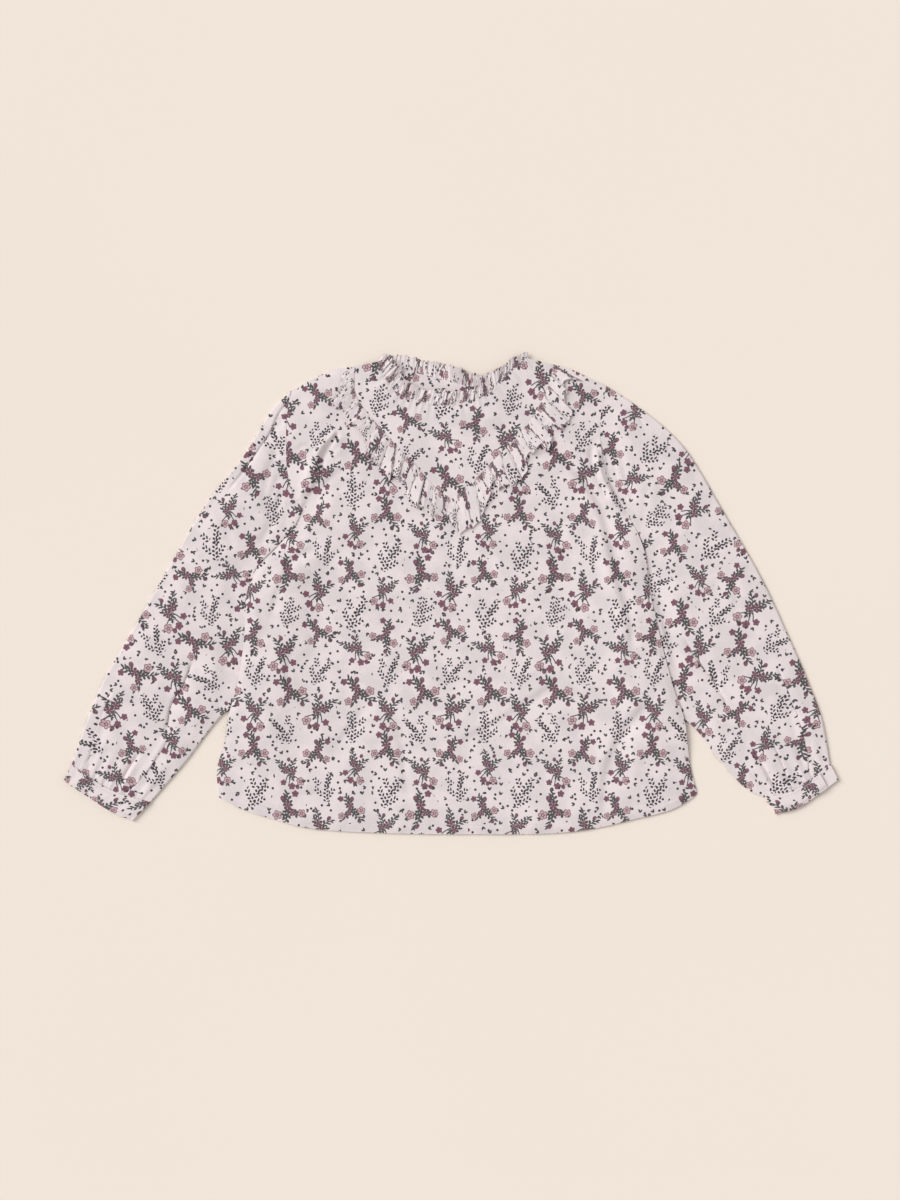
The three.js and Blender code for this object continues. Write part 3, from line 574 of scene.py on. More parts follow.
@dataclass
class Body:
    """The front, the V yoke and the back with its slit."""

    plan: Plan
    half: int = 100
    lower: int = 130
    upper: int = 84
    yoke_cells: tuple[int, int] = (168, 44)
    back_half: int = 44
    back_lower: int = 70
    back_upper: int = 44
    yoke_print: tuple[float, float] = (41, 23)
    back_print: tuple[float, float] = (17, 52)
    hem_depth: float = 9
    hem_relief: float = 0.3
    hem_drop: float = 1.1

    def hem_step(self, points: Array) -> Array:
        """Give the height that the turned hem adds, with its small puckers."""
        d, s = nearest(points, self.plan.hem)
        d = np.abs(d)
        pucker = 0.2 * np.sin(s * 1.1) * np.sin(s * 0.23 + 1) - 0.1
        ridge = np.exp(-(((d - self.hem_depth) / 2.6) ** 2)) * pucker
        drop = self.hem_drop * np.exp(-((d / 3.5) ** 2))
        return self.hem_relief * ease((self.hem_depth - d) / 1.5) + ridge - drop

    def front_face(self, points: Array) -> Array:
        """Give the outer face of the front with its hem."""
        face = self.plan.front_face(points)
        face[:, 2] += self.hem_step(points)
        return face

    def front(self) -> Sheet:
        """Lay out the front below and beside the V."""
        plan = self.plan
        waist = {side: plan.waist(side, self.half) for side in Side}
        left, right = Side.LEFT, Side.RIGHT
        lower = fill(
            stations(HEM, 2 * self.half),
            joined(waist[left], waist[right]),
            stations(SIDES[left], self.lower),
            stations(SIDES[right], self.lower),
        )
        upper_left = fill(
            waist[left],
            stations(SHOULDERS[left], self.half),
            stations(ARMHOLES[left], self.upper),
            stations(VEES[left], self.upper),
        )
        upper_right = fill(
            waist[right],
            stations(SHOULDERS[right], self.half),
            stations(VEES[right], self.upper),
            stations(ARMHOLES[right], self.upper),
        )
        grids = (lower, upper_left, upper_right)
        return Sheet("front_cloth", [(shaped(grid, self.front_face), grid) for grid in grids])

    def yoke_face(self, points: Array) -> Array:
        """Give the outer face of the yoke, drawn into small gathers under the neck seam."""
        face = self.plan.front_face(points)
        d, s = nearest(points, stations(NECK_FRONT, 60))
        near = 1 - ease(np.abs(d) / 22)
        face[:, 2] += 0.28 * near * np.sin(s * 0.95 + 1.6 * np.sin(s * 0.11))
        return face

    def yoke(self) -> Sheet:
        """Lay out the yoke between the V seam and the neck seam."""
        columns, rows = self.yoke_cells
        vee = joined(stations(VEES[Side.LEFT], 60)[::-1], stations(VEES[Side.RIGHT], 60))
        foot = between(vee + normals(vee) * SEAM_GAP, columns)
        neck = stations(NECK_FRONT, columns)
        grid = fill(
            foot, neck, between((foot[0], neck[0]), rows), between((foot[-1], neck[-1]), rows)
        )
        return Sheet("yoke_cloth", [(shaped(grid, self.yoke_face), grid + self.yoke_print)])

    def back_face(self, points: Array) -> Array:
        """Give the upper face of the back, which lies on the table."""
        height = self.plan.lift(points) + CLOTH
        neck = [stations(NECK_BACKS[side], 30) for side in Side]
        slit = np.array((SLIT_FOOT, NECK_BACKS[Side.LEFT][-1]))
        near = 1 - ease((distance(points, *neck) - 3) / 9)
        bound = 0.35 * (1 - ease((distance(points, slit) - 4) / 1.5))
        rumple = Rumple(height=0.16, shortest=9, longest=30, seed=8).at(points)
        inside = ease((points[:, 1] - 150) / 20) * (1 - near)
        return np.column_stack((points, height + np.abs(rumple) * inside + 0.2 * near + bound))

    def back(self) -> Sheet:
        """Lay out the back in one piece, open along its slit."""
        plan = self.plan
        waist = {side: plan.waist(side, self.back_half) for side in Side}
        grids = [
            fill(
                stations(HEM, 2 * self.back_half),
                joined(waist[Side.LEFT], waist[Side.RIGHT]),
                stations(SIDES[Side.LEFT], self.back_lower),
                stations(SIDES[Side.RIGHT], self.back_lower),
            )
        ]
        closed = self.back_upper // 3
        top = np.array(NECK_BACKS[Side.LEFT][-1], float)
        for side in Side:
            lips = top - (side.inward * SLIT_WIDTH / 2, 0)
            centre = joined(
                between((VEES[side][0], SLIT_FOOT), closed),
                between((SLIT_FOOT, lips), self.back_upper - closed),
            )
            armhole = stations(ARMHOLES[side], self.back_upper)
            neck = stations(NECK_BACKS[side], self.back_half // 2)
            shoulder = SHOULDERS[side]
            if side is Side.LEFT:
                edge = joined(stations((*shoulder, NECK_BACKS[side][0]), self.back_half // 2), neck)
                edge[-1] = lips
                grids.append(fill(waist[side], edge, armhole, centre))
            else:
                edge = joined(neck, stations((NECK_BACKS[side][-1], *shoulder), self.back_half // 2))
                edge[0] = lips
                grids.append(fill(waist[side], edge, centre, armhole))
        return Sheet(
            "back_cloth",
            [(shaped(grid, self.back_face), -grid + self.back_print) for grid in grids],
        )

    def build(self, cotton: bpy.types.Material) -> dict[str, bpy.types.Object]:
        """Make the three pieces of the body."""
        made = {
            "back": dress(self.back().build(), cotton, "back"),
            "front": dress(self.front().build(), cotton, "front"),
            "yoke": dress(self.yoke().build(), cotton, "front_yoke"),
        }
        LOG.info("body: back, front and yoke")
        return made


# Gathered strips


@dataclass
class Ribbon:
    """A gathered strip pressed flat, whose folds lap, slant and stand unevenly."""

    name: str
    node: str
    seam: Array
    free: Array
    waves: int
    height: float
    sway: float
    under: Callable[[Array, Array, float], Array]
    slant: float = 1.6
    ragged: float = 0.12
    crush: float = 0.3
    gathers: float = 0.35
    root: float = 0.06
    sharp: float = 0.65
    taken_in: float = 1.25
    hidden: float = 3
    across: int = 14
    samples: int = 14
    seed: int = 5
    print_place: tuple[float, float] = (0, 0)

    def uneven(self, low: float, high: float, every: int) -> Array:
        """Give a smooth run of random numbers along the strip, one for so many waves."""
        count = self.waves // every + 2
        knots = self.random.uniform(low, high, count)
        return np.interp(np.linspace(0, count - 1, self.count + 1), np.arange(count), knots)

    def sheet(self) -> Sheet:
        """Lay out the strip."""
        self.count = self.waves * self.samples
        self.random = np.random.RandomState(self.seed)
        seam, free = between(self.seam, self.count), between(self.free, self.count)
        a = np.linspace(0, 1, self.count + 1)
        ends = ease(np.minimum(a, 1 - a) * self.waves)
        size = self.uneven(0.2, 1.45, 1) * (0.3 + 0.7 * ends)
        lean = np.tanh(7 * self.uneven(-1, 1, 3)) * self.uneven(0.8, 1.2, 1)
        turn = 2 * math.pi * (self.waves * a + self.uneven(-0.4, 0.4, 2) * np.sin(math.pi * a))
        slant = self.slant * self.uneven(-1, 1, 1)
        reach = self.ragged * self.uneven(-1.3, 1, 1)
        tangent = np.gradient(seam, axis=0)
        tangent /= np.linalg.norm(tangent, axis=1, keepdims=True)
        crush = Rumple(height=self.crush, shortest=3.5, longest=13, seed=self.seed)
        rows, folds = [], []
        for w in np.linspace(0, 1, self.across + 1):
            phase = turn + slant * (w - 0.3)
            folds.append(self.hidden * np.floor(phase / (2 * math.pi)))
            wave = ((1 - np.cos(phase)) / 2) ** self.sharp
            rise = self.height * size * wave * (self.root + (1 - self.root) * w**0.8)
            fine = self.gathers * (1 - w) ** 2 * (1 - np.cos(3 * turn + 2 * np.sin(turn))) / 2
            fine *= min(1, 0.2 + 8 * w)
            out = w * (1 + (reach + 0.08 * size * np.cos(phase + 1.1)) * w)
            place = seam + (free - seam) * out[:, None]
            place += tangent * (self.sway * lean * size * np.cos(phase) * w**0.8)[:, None]
            z = self.under(place, seam, w) + rise + fine + np.abs(crush.at(place)) * w
            rows.append(np.column_stack((place, z)))
        length = along(rows[-1]) * self.taken_in
        width = np.linalg.norm(free - seam, axis=1).mean()
        u, v = np.meshgrid(length, np.linspace(0, width, self.across + 1))
        cloth = np.dstack((u + folds, v)) + self.print_place
        return Sheet(self.name, [(np.array(rows), cloth)], thickness=0.4)

    def build(self, cotton: bpy.types.Material) -> bpy.types.Object:
        """Make the strip, which stands for its solid."""
        made = dress(self.sheet().build(), cotton, self.node)
        LOG.info("gathered strip: %s", self.name)
        return made


RUFFLE_FREE = {
    Side.LEFT: ((1.5, 61), (-26, 75), (-55.5, 109), (-86, 145.5), (-108, 180.5), (-107, 206)),
    Side.RIGHT: (
        (1.5, 61), (28, 78), (56.5, 104.5), (86, 131), (104, 164.5), (114, 191), (116, 205),
    ),
}
FRILL_FRONT_FREE = (
    (-64.5, 228.5), (-52, 216), (-46.5, 203), (-37, 196), (-20, 192.5), (-3, 191.5),
    (13, 192.5), (25, 198), (33.5, 207), (45, 212), (55, 221), (72, 228.5),
)
FRILL_BACK_FREE = {
    Side.LEFT: ((-60, 227), (-35.5, 223), (-9.5, 217.5), (12.4, 211)),
    Side.RIGHT: ((14.4, 209.5), (25.5, 206.5), (36, 210), (49.5, 216.5), (61, 224)),
}


@dataclass
class Trims:
    """The ruffle over the V seam and the frill round the neck."""

    plan: Plan
    sewn_past: float = 2.5
    seam_gap: float = -0.5
    ruffle_seat: float = 0.05
    neck_seat: float = 0.5
    front_rest: float = 3.4

    def on_front(self, place: Array, seam: Array, w: float) -> Array:
        """Give the height of a ruffle's outer face that lies on the front."""
        return self.plan.front_under(place) + WALL + (self.ruffle_seat + 0.45) * max(-0.3, min(1, 3 * w - 0.3))

    def over_neck(self, place: Array, seam: Array, w: float) -> Array:
        """Give the height of the front frill, which rises over the neck opening."""
        behind = (self.plan.lift(place) + self.front_rest) * ease(2 * w)
        return np.maximum(self.plan.front_under(seam) + self.neck_seat * (1 - w), behind) + 0.45

    def on_table(self, place: Array, seam: Array, w: float) -> Array:
        """Give the height of a back frill, which lies on the table."""
        return self.plan.lift(place) + 0.5

    def ruffle(self) -> Ribbon:
        """Lay out the V ruffle."""
        both = [
            joined(stations(rows[Side.LEFT], 90)[::-1], stations(rows[Side.RIGHT], 90))
            for rows in (VEES, RUFFLE_FREE)
        ]
        seam = both[0] + normals(both[0]) * self.sewn_past
        return Ribbon(
            "ruffle_cloth", "yoke_ruffle", seam, both[1], waves=32, height=1.9, sway=4.4,
            under=self.on_front, slant=3.4, ragged=0.32, crush=1.0, seed=11, print_place=(9, 70),
        )

    def front_frill(self) -> Ribbon:
        """Lay out the frill along the front neckline."""
        neck = stations(NECK_FRONT, 96)
        return Ribbon(
            "frill_front_cloth", "neck_frill_front", neck + normals(neck) * self.seam_gap,
            stations(FRILL_FRONT_FREE, 96), waves=44, height=1.6, sway=1.5,
            under=self.over_neck, crush=0.4, seed=4, samples=12, print_place=(80, 12),
        )

    def back_frill(self, side: Side) -> Ribbon:
        """Lay out the frill along one half of the back neckline."""
        waves, spare = (17, 2) if side is Side.LEFT else (12, 2)
        cells = 12 * (waves + spare)
        neck = stations(NECK_BACKS[side], cells)
        seam = neck + normals(neck) * self.seam_gap
        seam = seam[12 * spare :] if side is Side.LEFT else seam[: -12 * spare]
        return Ribbon(
            f"frill_back_{side.value}_cloth", f"neck_frill_back_{side.value}", seam,
            stations(FRILL_BACK_FREE[side], 12 * waves), waves=waves, height=1.2, sway=1.2,
            under=self.on_table, seed=21, samples=12, print_place=(30, 41),
        )

    def build(self, cotton: bpy.types.Material) -> dict[str, bpy.types.Object]:
        """Make the ruffle and the three stretches of the frill."""
        return {
            "ruffle": self.ruffle().build(cotton),
            "frill_front": self.front_frill().build(cotton),
            "frill_back_left": self.back_frill(Side.LEFT).build(cotton),
            "frill_back_right": self.back_frill(Side.RIGHT).build(cotton),
        }


# Sleeves and cuffs

SLEEVE_OUTER = {
    Side.LEFT: (
        (-153.5, 192), (-171.5, 174), (-184, 153), (-201, 126.5), (-231.5, 88.5),
        (-265.5, 31.5), (-309, -44.5), (-331, -82.5), (-347, -120.5), (-361.5, -162.5),
    ),
    Side.RIGHT: (
        (146, 196.5), (166.5, 183.5), (192.5, 164.5), (220, 138), (256, 79),
        (294, 12.5), (320.5, -44.5), (337, -82.5), (351, -120.5), (358.5, -162.5),
    ),
}
SLEEVE_INNER = {
    Side.LEFT: (
        (-143.5, 78.2), (-151, 63.3), (-169.5, 41.5), (-187.5, 24), (-184, 3), (-182, -25.5),
        (-187.5, -63.5), (-200, -97), (-215, -112), (-231.5, -131), (-252, -158.5),
        (-286.5, -198.5),
    ),
    Side.RIGHT: (
        (158.5, 87.6), (172.5, 66.4), (186, 36), (177.5, 8.5), (179, -22), (184, -46.5),
        (197, -87.5), (222, -120.5), (231.5, -130), (253, -158.5), (280.5, -187), (296, -194),
    ),
}
CUFF_SEAMS = {
    Side.LEFT: ((-361.5, -162.5), (-346, -174), (-319.5, -189), (-286.5, -198.5)),
    Side.RIGHT: ((358.5, -162.5), (340, -176), (320, -188.5), (296, -194)),
}
CUFF_FREE = {
    Side.LEFT: ((-369, -178), (-354, -188), (-326, -206.5), (-303.5, -216.5)),
    Side.RIGHT: ((366, -177), (348, -190.5), (328, -204), (306.5, -210)),
}
CUFF_TABS = {Side.LEFT: 6, Side.RIGHT: 13}
SLEEVE_FOLDS = (
    Fold(-152, 198, -176, 156, height=-1.4, width=7),
    Fold(-176, 156, -200, 114, height=-1.1, width=7),
    Fold(-246, -66, -268, -108, height=-1.2, width=8),
    Fold(-268, -108, -272, -132, height=-1.2, width=7),
    Fold(-330, -114, -344, -160, height=-1.4, width=6),
    Fold(-280, -156, -304, -186, height=-1.2, width=6),
    Fold(152, 190, 172, 172, height=-1.2, width=7),
    Fold(224, -52, 264, -108, height=-1.2, width=8),
    Fold(314, -88, 340, -172, height=-1.4, width=7),
    Fold(306, -148, 324, -188, height=-1.2, width=6),
)
SLEEVE_CREASES = (
    Crease(((-138, 199), (-153, 186), (-166, 168), (-172, 155), (-185, 135), (-202, 112)),
           depth=0.9, width=4.5, lap=2.2, step=-0.5),
    Crease(((-158, 180), (-167, 167), (-173, 152), (-181, 140)), depth=1.6, width=2, fade=8),
    Crease(((-182, 138), (-193, 122), (-204, 108), (-214, 96)), depth=1.1, width=2, fade=10),
    Crease(((-160, 166), (-168, 155), (-174, 144)), depth=2.2, width=3.4, shoulder=0.2, fade=6),
    Crease(((-161, 108), (-167, 76), (-186, 40)), depth=1, width=5, fade=20),
    Crease(((148, 140), (150.5, 120), (157, 98), (168, 76)), depth=2.6, width=5.5, fade=16),
    Crease(((163, 82), (176, 44), (192, 0), (206, -45), (212, -80)),
           depth=1.2, width=5, step=-0.8, fade=20),
    Crease(((-160, 150), (-170, 128), (-178, 98), (-176, 66)), depth=0.7, width=5, fade=24),
    Crease(((-161, 118), (-172, 92), (-176, 60)), depth=0.6, width=4),
    Crease(((-228, 84), (-214, 60), (-208, 24)), depth=0.45, width=5, fade=24),
    Crease(((-246, -62), (-256, -87), (-268, -108), (-271, -134)),
           depth=1.6, width=3, lap=2.4, step=-0.6),
    Crease(((-324, -92), (-331, -114), (-338, -132), (-346, -162)),
           depth=3.2, width=2.1, shoulder=0.6, lap=3, step=0.7, fade=12),
    Crease(((-264, -128), (-270, -138), (-280, -154), (-292, -170), (-308, -190)),
           depth=3.2, width=2.1, shoulder=0.6, lap=3, step=-0.7, fade=10),
    Crease(((-296, -150), (-308, -168), (-318, -188)), depth=2.2, width=2.1, fade=10),
    Crease(((-300, -20), (-284, -44), (-276, -74)), depth=0.45, width=5, fade=22),
    Crease(((148, 190), (158, 184), (172, 173), (186, 154)), depth=1, width=4, lap=2, step=0.6),
    Crease(((146, 150), (158, 132), (166, 104), (172, 72)), depth=0.7, width=5, fade=22),
    Crease(((196, 120), (184, 96), (184, 60)), depth=0.5, width=5, fade=22),
    Crease(((218, -40), (232, -62), (248, -84), (264, -112)),
           depth=2.2, width=2.6, lap=2, step=0.6),
    Crease(((308, -70), (316, -90), (329, -123), (340, -174)),
           depth=3.2, width=2.1, shoulder=0.6, lap=2.8, step=-0.7, fade=14),
    Crease(((302, -138), (308, -150), (324, -190)), depth=2.8, width=2, lap=2, step=0.5, fade=9),
    Crease(((284, -146), (296, -166), (310, -192)), depth=1.8, width=2.2, fade=9),
    Crease(((262, 30), (270, 0), (266, -32)), depth=0.45, width=5, fade=24),
)


@dataclass
class Sleeve:
    """One flattened sleeve, gathered at its head and at its cuff."""

    plan: Plan
    side: Side
    columns: int = 64
    rows: int = 196
    loft: float = 1.4
    ramp: float = 20
    inner_ramp: float = 13
    cuff_ease: float = 14
    margin: float = 9
    rim: float = 1.8
    fan: float = 1.35
    seam: float = 0.1
    beside: float = 5
    lowest: float = 1.5
    gather_count: int = 8
    gather_height: float = 0.8
    gather_reach: float = 46
    grain: dict[Side, float] = field(
        default_factory=lambda: {Side.LEFT: -0.50, Side.RIGHT: 0.47}
    )

    def upper(self, points: Array, u: Array) -> Array:
        """Give the outer face of the sleeve's upper layer.

        Args:
            points: The places in plan.
            u: How far across the sleeve each one is, from 0 at its outer edge to 1.

        Returns:
            The points, N by 3.
        """
        side = self.plan.side[self.side]
        outer = stations(SLEEVE_OUTER[self.side], 40)
        inner = stations(SLEEVE_INNER[self.side], 40)
        cuff = stations(CUFF_SEAMS[self.side], 12)
        edge_x = np.interp(points[:, 1], side[:, 1], side[:, 0])
        covered = (points[:, 1] < side[-1, 1]) & ((points[:, 0] - edge_x) * self.side.inward > 0)
        clear = np.where(covered, 0, distance(points, self.plan.whole[self.side]))
        rise = (
            ease(distance(points, outer) / self.ramp)
            * ease(distance(points, inner) / self.inner_ramp)
            * ease((clear - self.margin) / self.ramp)
        )
        from_cuff = distance(points, cuff)
        near = 1 - ease(from_cuff / self.gather_reach)
        gathers = self.gather_height * np.cos(2 * math.pi * self.gather_count * u) * near
        loft = self.loft + sum(fold.at(points) for fold in SLEEVE_FOLDS) + gathers
        rise = rise * (0.45 + 0.55 * ease(from_cuff / self.cuff_ease))
        z = SLEEVE_PLIES - 0.1 + np.clip(loft, 0, 3.6) * rise
        pleat = 2 * math.pi * (2.6 * self.gather_count * u + 0.5 * np.sin(9 * u))
        z += 0.3 * np.cos(pleat) * (1 - ease(from_cuff / 18)) * ease((rise + 0.25) * 1.5)
        head = 1 - ease(distance(points, self.plan.armhole[self.side]) / 26)
        z += 0.25 * head * np.sin(points[:, 1] * 0.75 + np.sin(points[:, 1] * 0.2)) * (~covered)
        z += Rumple(height=0.2, shortest=12, longest=60, seed=14).at(points) * rise
        face = np.column_stack((points, z))
        still = ease(np.minimum(distance(points, outer), distance(points, inner)) / 7)
        beside = np.where(covered, 0, distance(points, side))
        hold = still * ease((beside + 2) / 4)
        for crease in SLEEVE_CREASES:
            move = crease.move(points)
            face[:, :2] += move[:, :2] * (still * ease(clear / 6))[:, None]
            face[:, 2] += move[:, 2] * hold
        face[:, 2] = np.maximum(face[:, 2], self.lowest)
        return face

    def plan_grid(self) -> tuple[Array, Array]:
        """Give the plan grid, with close columns at both folded edges, and each column's share."""
        top = stations(ARMHOLES[self.side], 60)
        away = 1 if self.side is Side.LEFT else -1
        top = between(top + normals(top) * away * self.seam, self.columns)[::-1]
        outer = stations(SLEEVE_OUTER[self.side], self.rows)
        inner = stations(SLEEVE_INNER[self.side], self.rows, self.fan)
        side = self.plan.side[self.side]
        gap = (np.interp(inner[:, 1], side[:, 1], side[:, 0]) - inner[:, 0]) * self.side.inward
        near = ease((self.beside - gap) / 2) * (inner[:, 1] < side[-1, 1])
        inner[:, 0] += np.maximum(gap - self.seam, 0) * near * self.side.inward
        outer[0], inner[0] = top[0], top[-1]
        grid = fill(top, stations(CUFF_SEAMS[self.side], self.columns), outer, inner)
        width = np.linalg.norm(grid[:, -1] - grid[:, 0], axis=1)
        close = np.array((0, 0.12, 0.45, 1, 1.8))
        columns = np.arange(len(top), dtype=float)
        made, share = [], []
        for row, span in zip(grid, width):
            step = close / span * self.columns
            at = np.concatenate((step, columns[2:-2], self.columns - step[::-1]))
            made.append(np.stack([np.interp(at, columns, row[:, k]) for k in (0, 1)], 1))
            share.append(at / self.columns)
        return np.array(made), np.array(share)

    def sheet(self) -> Sheet:
        """Lay out the sleeve as one tube: its upper layer, then its lower one."""
        grid, share = self.plan_grid()
        flat = grid.reshape(-1, 2)
        upper = self.upper(flat, share.ravel()).reshape(*grid.shape[:2], 3)
        span = np.linalg.norm(grid[:, -1] - grid[:, 0], axis=1)[:, None]
        edge = np.minimum(share, 1 - share) * span
        round_off = np.sqrt(1 - (1 - np.clip(edge / self.rim, 0, 1)) ** 2)
        middle = SLEEVE_PLIES / 2
        upper[..., 2] = middle + (upper[..., 2] - middle) * round_off
        upper[:, (0, -1), :2] = grid[:, (0, -1)]
        lower = np.dstack((grid, middle * (1 - round_off)))
        centre = (ARMHOLES[self.side][3][0], ARMHOLES[self.side][3][1])
        cloth = turned(flat, centre, self.grain[self.side]).reshape(grid.shape)
        cloth = cloth + (12, 30)
        wide = (0, 140)
        return Sheet(
            f"sleeve_{self.side.value}_cloth",
            self.facing([(upper, cloth), (lower[:, ::-1], -cloth[:, ::-1] + wide)]),
        )

    def facing(self, grids: list[tuple[Array, Array]]) -> list[tuple[Array, Array]]:
        """Turn the grids' rows so that their faces look out of the tube."""
        if self.side is Side.RIGHT:
            return grids
        return [(points[::-1], cloth[::-1]) for points, cloth in grids]

    def build(self, cotton: bpy.types.Material) -> bpy.types.Object:
        """Make the sleeve."""
        made = dress(self.sheet().build(), cotton, f"sleeve_{self.side.value}")
        LOG.info("sleeve: %s", self.side.value)
        return made


@dataclass
class Cuff:
    """One cuff: a doubled band, folded round, whose lower end sticks out as the button tab."""

    side: Side
    cells: int = 48
    deep: int = 12
    wall: float = 1.2
    gap: float = 0.05
    loft: float = 0.9
    ramp: float = 14
    button_rest: float = 16
    fold: float = 1.6
    foot: float = 1.5

    def sheet(self) -> Sheet:
        """Lay out the band from the end of its upper layer, round its fold, to its tab."""
        away = -1 if self.side is Side.LEFT else 1
        seam = stations(CUFF_SEAMS[self.side], self.cells)
        seam = seam + normals(seam) * away * self.gap
        free = stations(CUFF_FREE[self.side], self.cells)
        tab = CUFF_TABS[self.side]
        width = float(np.linalg.norm(seam[-1] - seam[0]))

        def under(s: Array) -> Array:
            """Give the height of the lower layer's underside over the button."""
            return BUTTON_LIFT * (1 - ease((s - self.button_rest) / self.ramp))

        upper_s = np.linspace(tab, width - self.fold, self.cells)
        top = under(upper_s) + 3.5 + self.loft * ease((upper_s - tab) / self.ramp) * ease(
            (width - upper_s) / self.ramp
        )
        lower_s = np.linspace(width - self.fold, 0, self.cells + 8)
        bottom = under(lower_s)
        middle, half = (top[-1] + bottom[0]) / 2, (top[-1] - bottom[0]) / 2
        bend = np.linspace(0, math.pi, 9)[1:-1]
        s = np.concatenate((upper_s, width - self.fold + self.fold * np.sin(bend), lower_s))
        z = np.concatenate((top, middle + half * np.cos(bend), bottom))
        at = s / width * self.cells
        k = np.arange(self.cells + 1)
        rows = []
        run = along(np.column_stack((s, z)))
        for w in np.linspace(0, 1, self.deep + 1):
            line = seam + (free - seam) * w
            place = np.stack([np.interp(at, k, line[:, i]) for i in (0, 1)], 1)
            hem = 0.12 * math.exp(-(((w - 0.12) / 0.05) ** 2)) + 0.12 * math.exp(
                -(((w - 0.88) / 0.05) ** 2)
            )
            edge = 0.15 * math.exp(-((w / 0.05) ** 2)) + self.foot * math.exp(
                -(((1 - w) / 0.16) ** 2)
            )
            puff = 0.1 * np.sin(run * 0.8 + 5 * w) * math.sin(math.pi * w)
            outer = np.where(np.arange(len(s)) < self.cells, 1, 0)
            rows.append(np.column_stack((place, z - (hem + edge - puff) * outer)))
        depth = np.linalg.norm(free - seam, axis=1).mean()
        u, v = np.meshgrid(run, np.linspace(0, depth, self.deep + 1))
        grid, cloth = np.array(rows), np.dstack((u + 20, v + 55))
        if self.side is Side.LEFT:
            grid, cloth = grid[::-1], cloth[::-1]
        return Sheet(f"cuff_{self.side.value}_cloth", [(grid, cloth)], thickness=self.wall)

    def build(self, cotton: bpy.types.Material) -> bpy.types.Object:
        """Make the cuff."""
        made = dress(self.sheet().build(), cotton, f"cuff_{self.side.value}")
        LOG.info("cuff: %s", self.side.value)
        return made


# Finishes

Colour = tuple[int, int, int]


def linear(colour: Colour) -> tuple[float, float, float, float]:
    """Turn a colour of 0 to 255 as seen on a screen into the linear one that a shader takes."""
    share = [c / 255 for c in colour]
    return (*(c / 12.92 if c < 0.04 else ((c + 0.055) / 1.055) ** 2.4 for c in share), 1)


@dataclass
class Signal:
    """A number, vector or colour on its way through a material's nodes."""

    tree: bpy.types.NodeTree
    socket: bpy.types.NodeSocket

    def node(self, kind: str, values: Sequence, **options: str | bool) -> bpy.types.Node:
        """Add a node and feed its inputs, in order, from signals or constants."""
        made = self.tree.nodes.new(kind)
        for name, option in options.items():
            setattr(made, name, option)
        for socket, value in zip(made.inputs, values):
            if isinstance(value, Signal):
                self.tree.links.new(value.socket, socket)
            elif value is not None:
                socket.default_value = value
        return made

    def sum_of(self, operation: str, *values: "Signal | float", clamp: bool = False) -> "Signal":
        """Apply a sum to this number and the other values."""
        node = self.node("ShaderNodeMath", (self, *values), operation=operation, use_clamp=clamp)
        return Signal(self.tree, node.outputs[0])

    def __add__(self, other: "Signal | float") -> "Signal":
        """Add."""
        return self.sum_of("ADD", other)

    def __sub__(self, other: "Signal | float") -> "Signal":
        """Take away."""
        return self.sum_of("SUBTRACT", other)

    def __mul__(self, other: "Signal | float") -> "Signal":
        """Multiply."""
        return self.sum_of("MULTIPLY", other)

    def below(self, limit: "Signal | float", soft: float = 0.3) -> "Signal":
        """Give 1 where this number is below a limit, and 0 above it, with a soft edge."""
        return (self - limit).sum_of("MULTIPLY_ADD", -1 / soft, 0.5, clamp=True)

    def above(self, limit: "Signal | float", soft: float = 0.3) -> "Signal":
        """Give 1 where this number is above a limit, and 0 below it, with a soft edge."""
        return (self - limit).sum_of("MULTIPLY_ADD", 1 / soft, 0.5, clamp=True)

    def either(self, other: "Signal") -> "Signal":
        """Give the larger of two masks."""
        return self.sum_of("MAXIMUM", other)

    def parts(self) -> tuple["Signal", "Signal", "Signal"]:
        """Split a vector or colour into its three numbers."""
        node = self.node("ShaderNodeSeparateXYZ", (self,))
        return tuple(Signal(self.tree, output) for output in node.outputs)

    def place(self, x: "Signal | float", y: "Signal | float", z: "Signal | float" = 0) -> "Signal":
        """Make a vector of numbers."""
        node = self.node("ShaderNodeCombineXYZ", (x, y, z))
        return Signal(self.tree, node.outputs[0])

    def turned(self, angle: "Signal | float") -> "Signal":
        """Turn a vector backwards by an angle, so that a motif drawn on it turns forwards."""
        node = self.node("ShaderNodeVectorRotate", (self,), rotation_type="Z_AXIS", invert=True)
        socket = node.inputs["Angle"]
        if isinstance(angle, Signal):
            self.tree.links.new(angle.socket, socket)
        else:
            socket.default_value = angle
        return Signal(self.tree, node.outputs[0])

    def oval(self, x: float, y: float, turn: float, long: float, wide: float) -> "Signal":
        """Give a mask of one oval at a place."""
        node = self.node(
            "ShaderNodeMapping",
            (self, (x, y, 0), (0, 0, turn), (long, wide, 1)),
            vector_type="TEXTURE",
        )
        size = Signal(self.tree, node.outputs[0]).length()
        return size.below(1, soft=0.3)

    def length(self) -> "Signal":
        """Give a vector's length."""
        node = self.node("ShaderNodeVectorMath", (self,), operation="LENGTH")
        return Signal(self.tree, node.outputs["Value"])

    def painted(self, mask: "Signal", colour: Colour) -> "Signal":
        """Paint a colour over this one where the mask is 1."""
        node = self.tree.nodes.new("ShaderNodeMix")
        node.data_type = "RGBA"
        self.tree.links.new(mask.socket, node.inputs["Factor"])
        self.tree.links.new(self.socket, node.inputs["A"])
        node.inputs["B"].default_value = linear(colour)
        return Signal(self.tree, node.outputs["Result"])


class Bloom(Enum):
    """The heads of the print's flowers."""

    OPEN = "pale petals, outlined, round a light eye"
    FULL = "full petals with a dark rim and heart"
    BUD = "a bud with a light tip"
    CLUSTER = "dark solid petals"


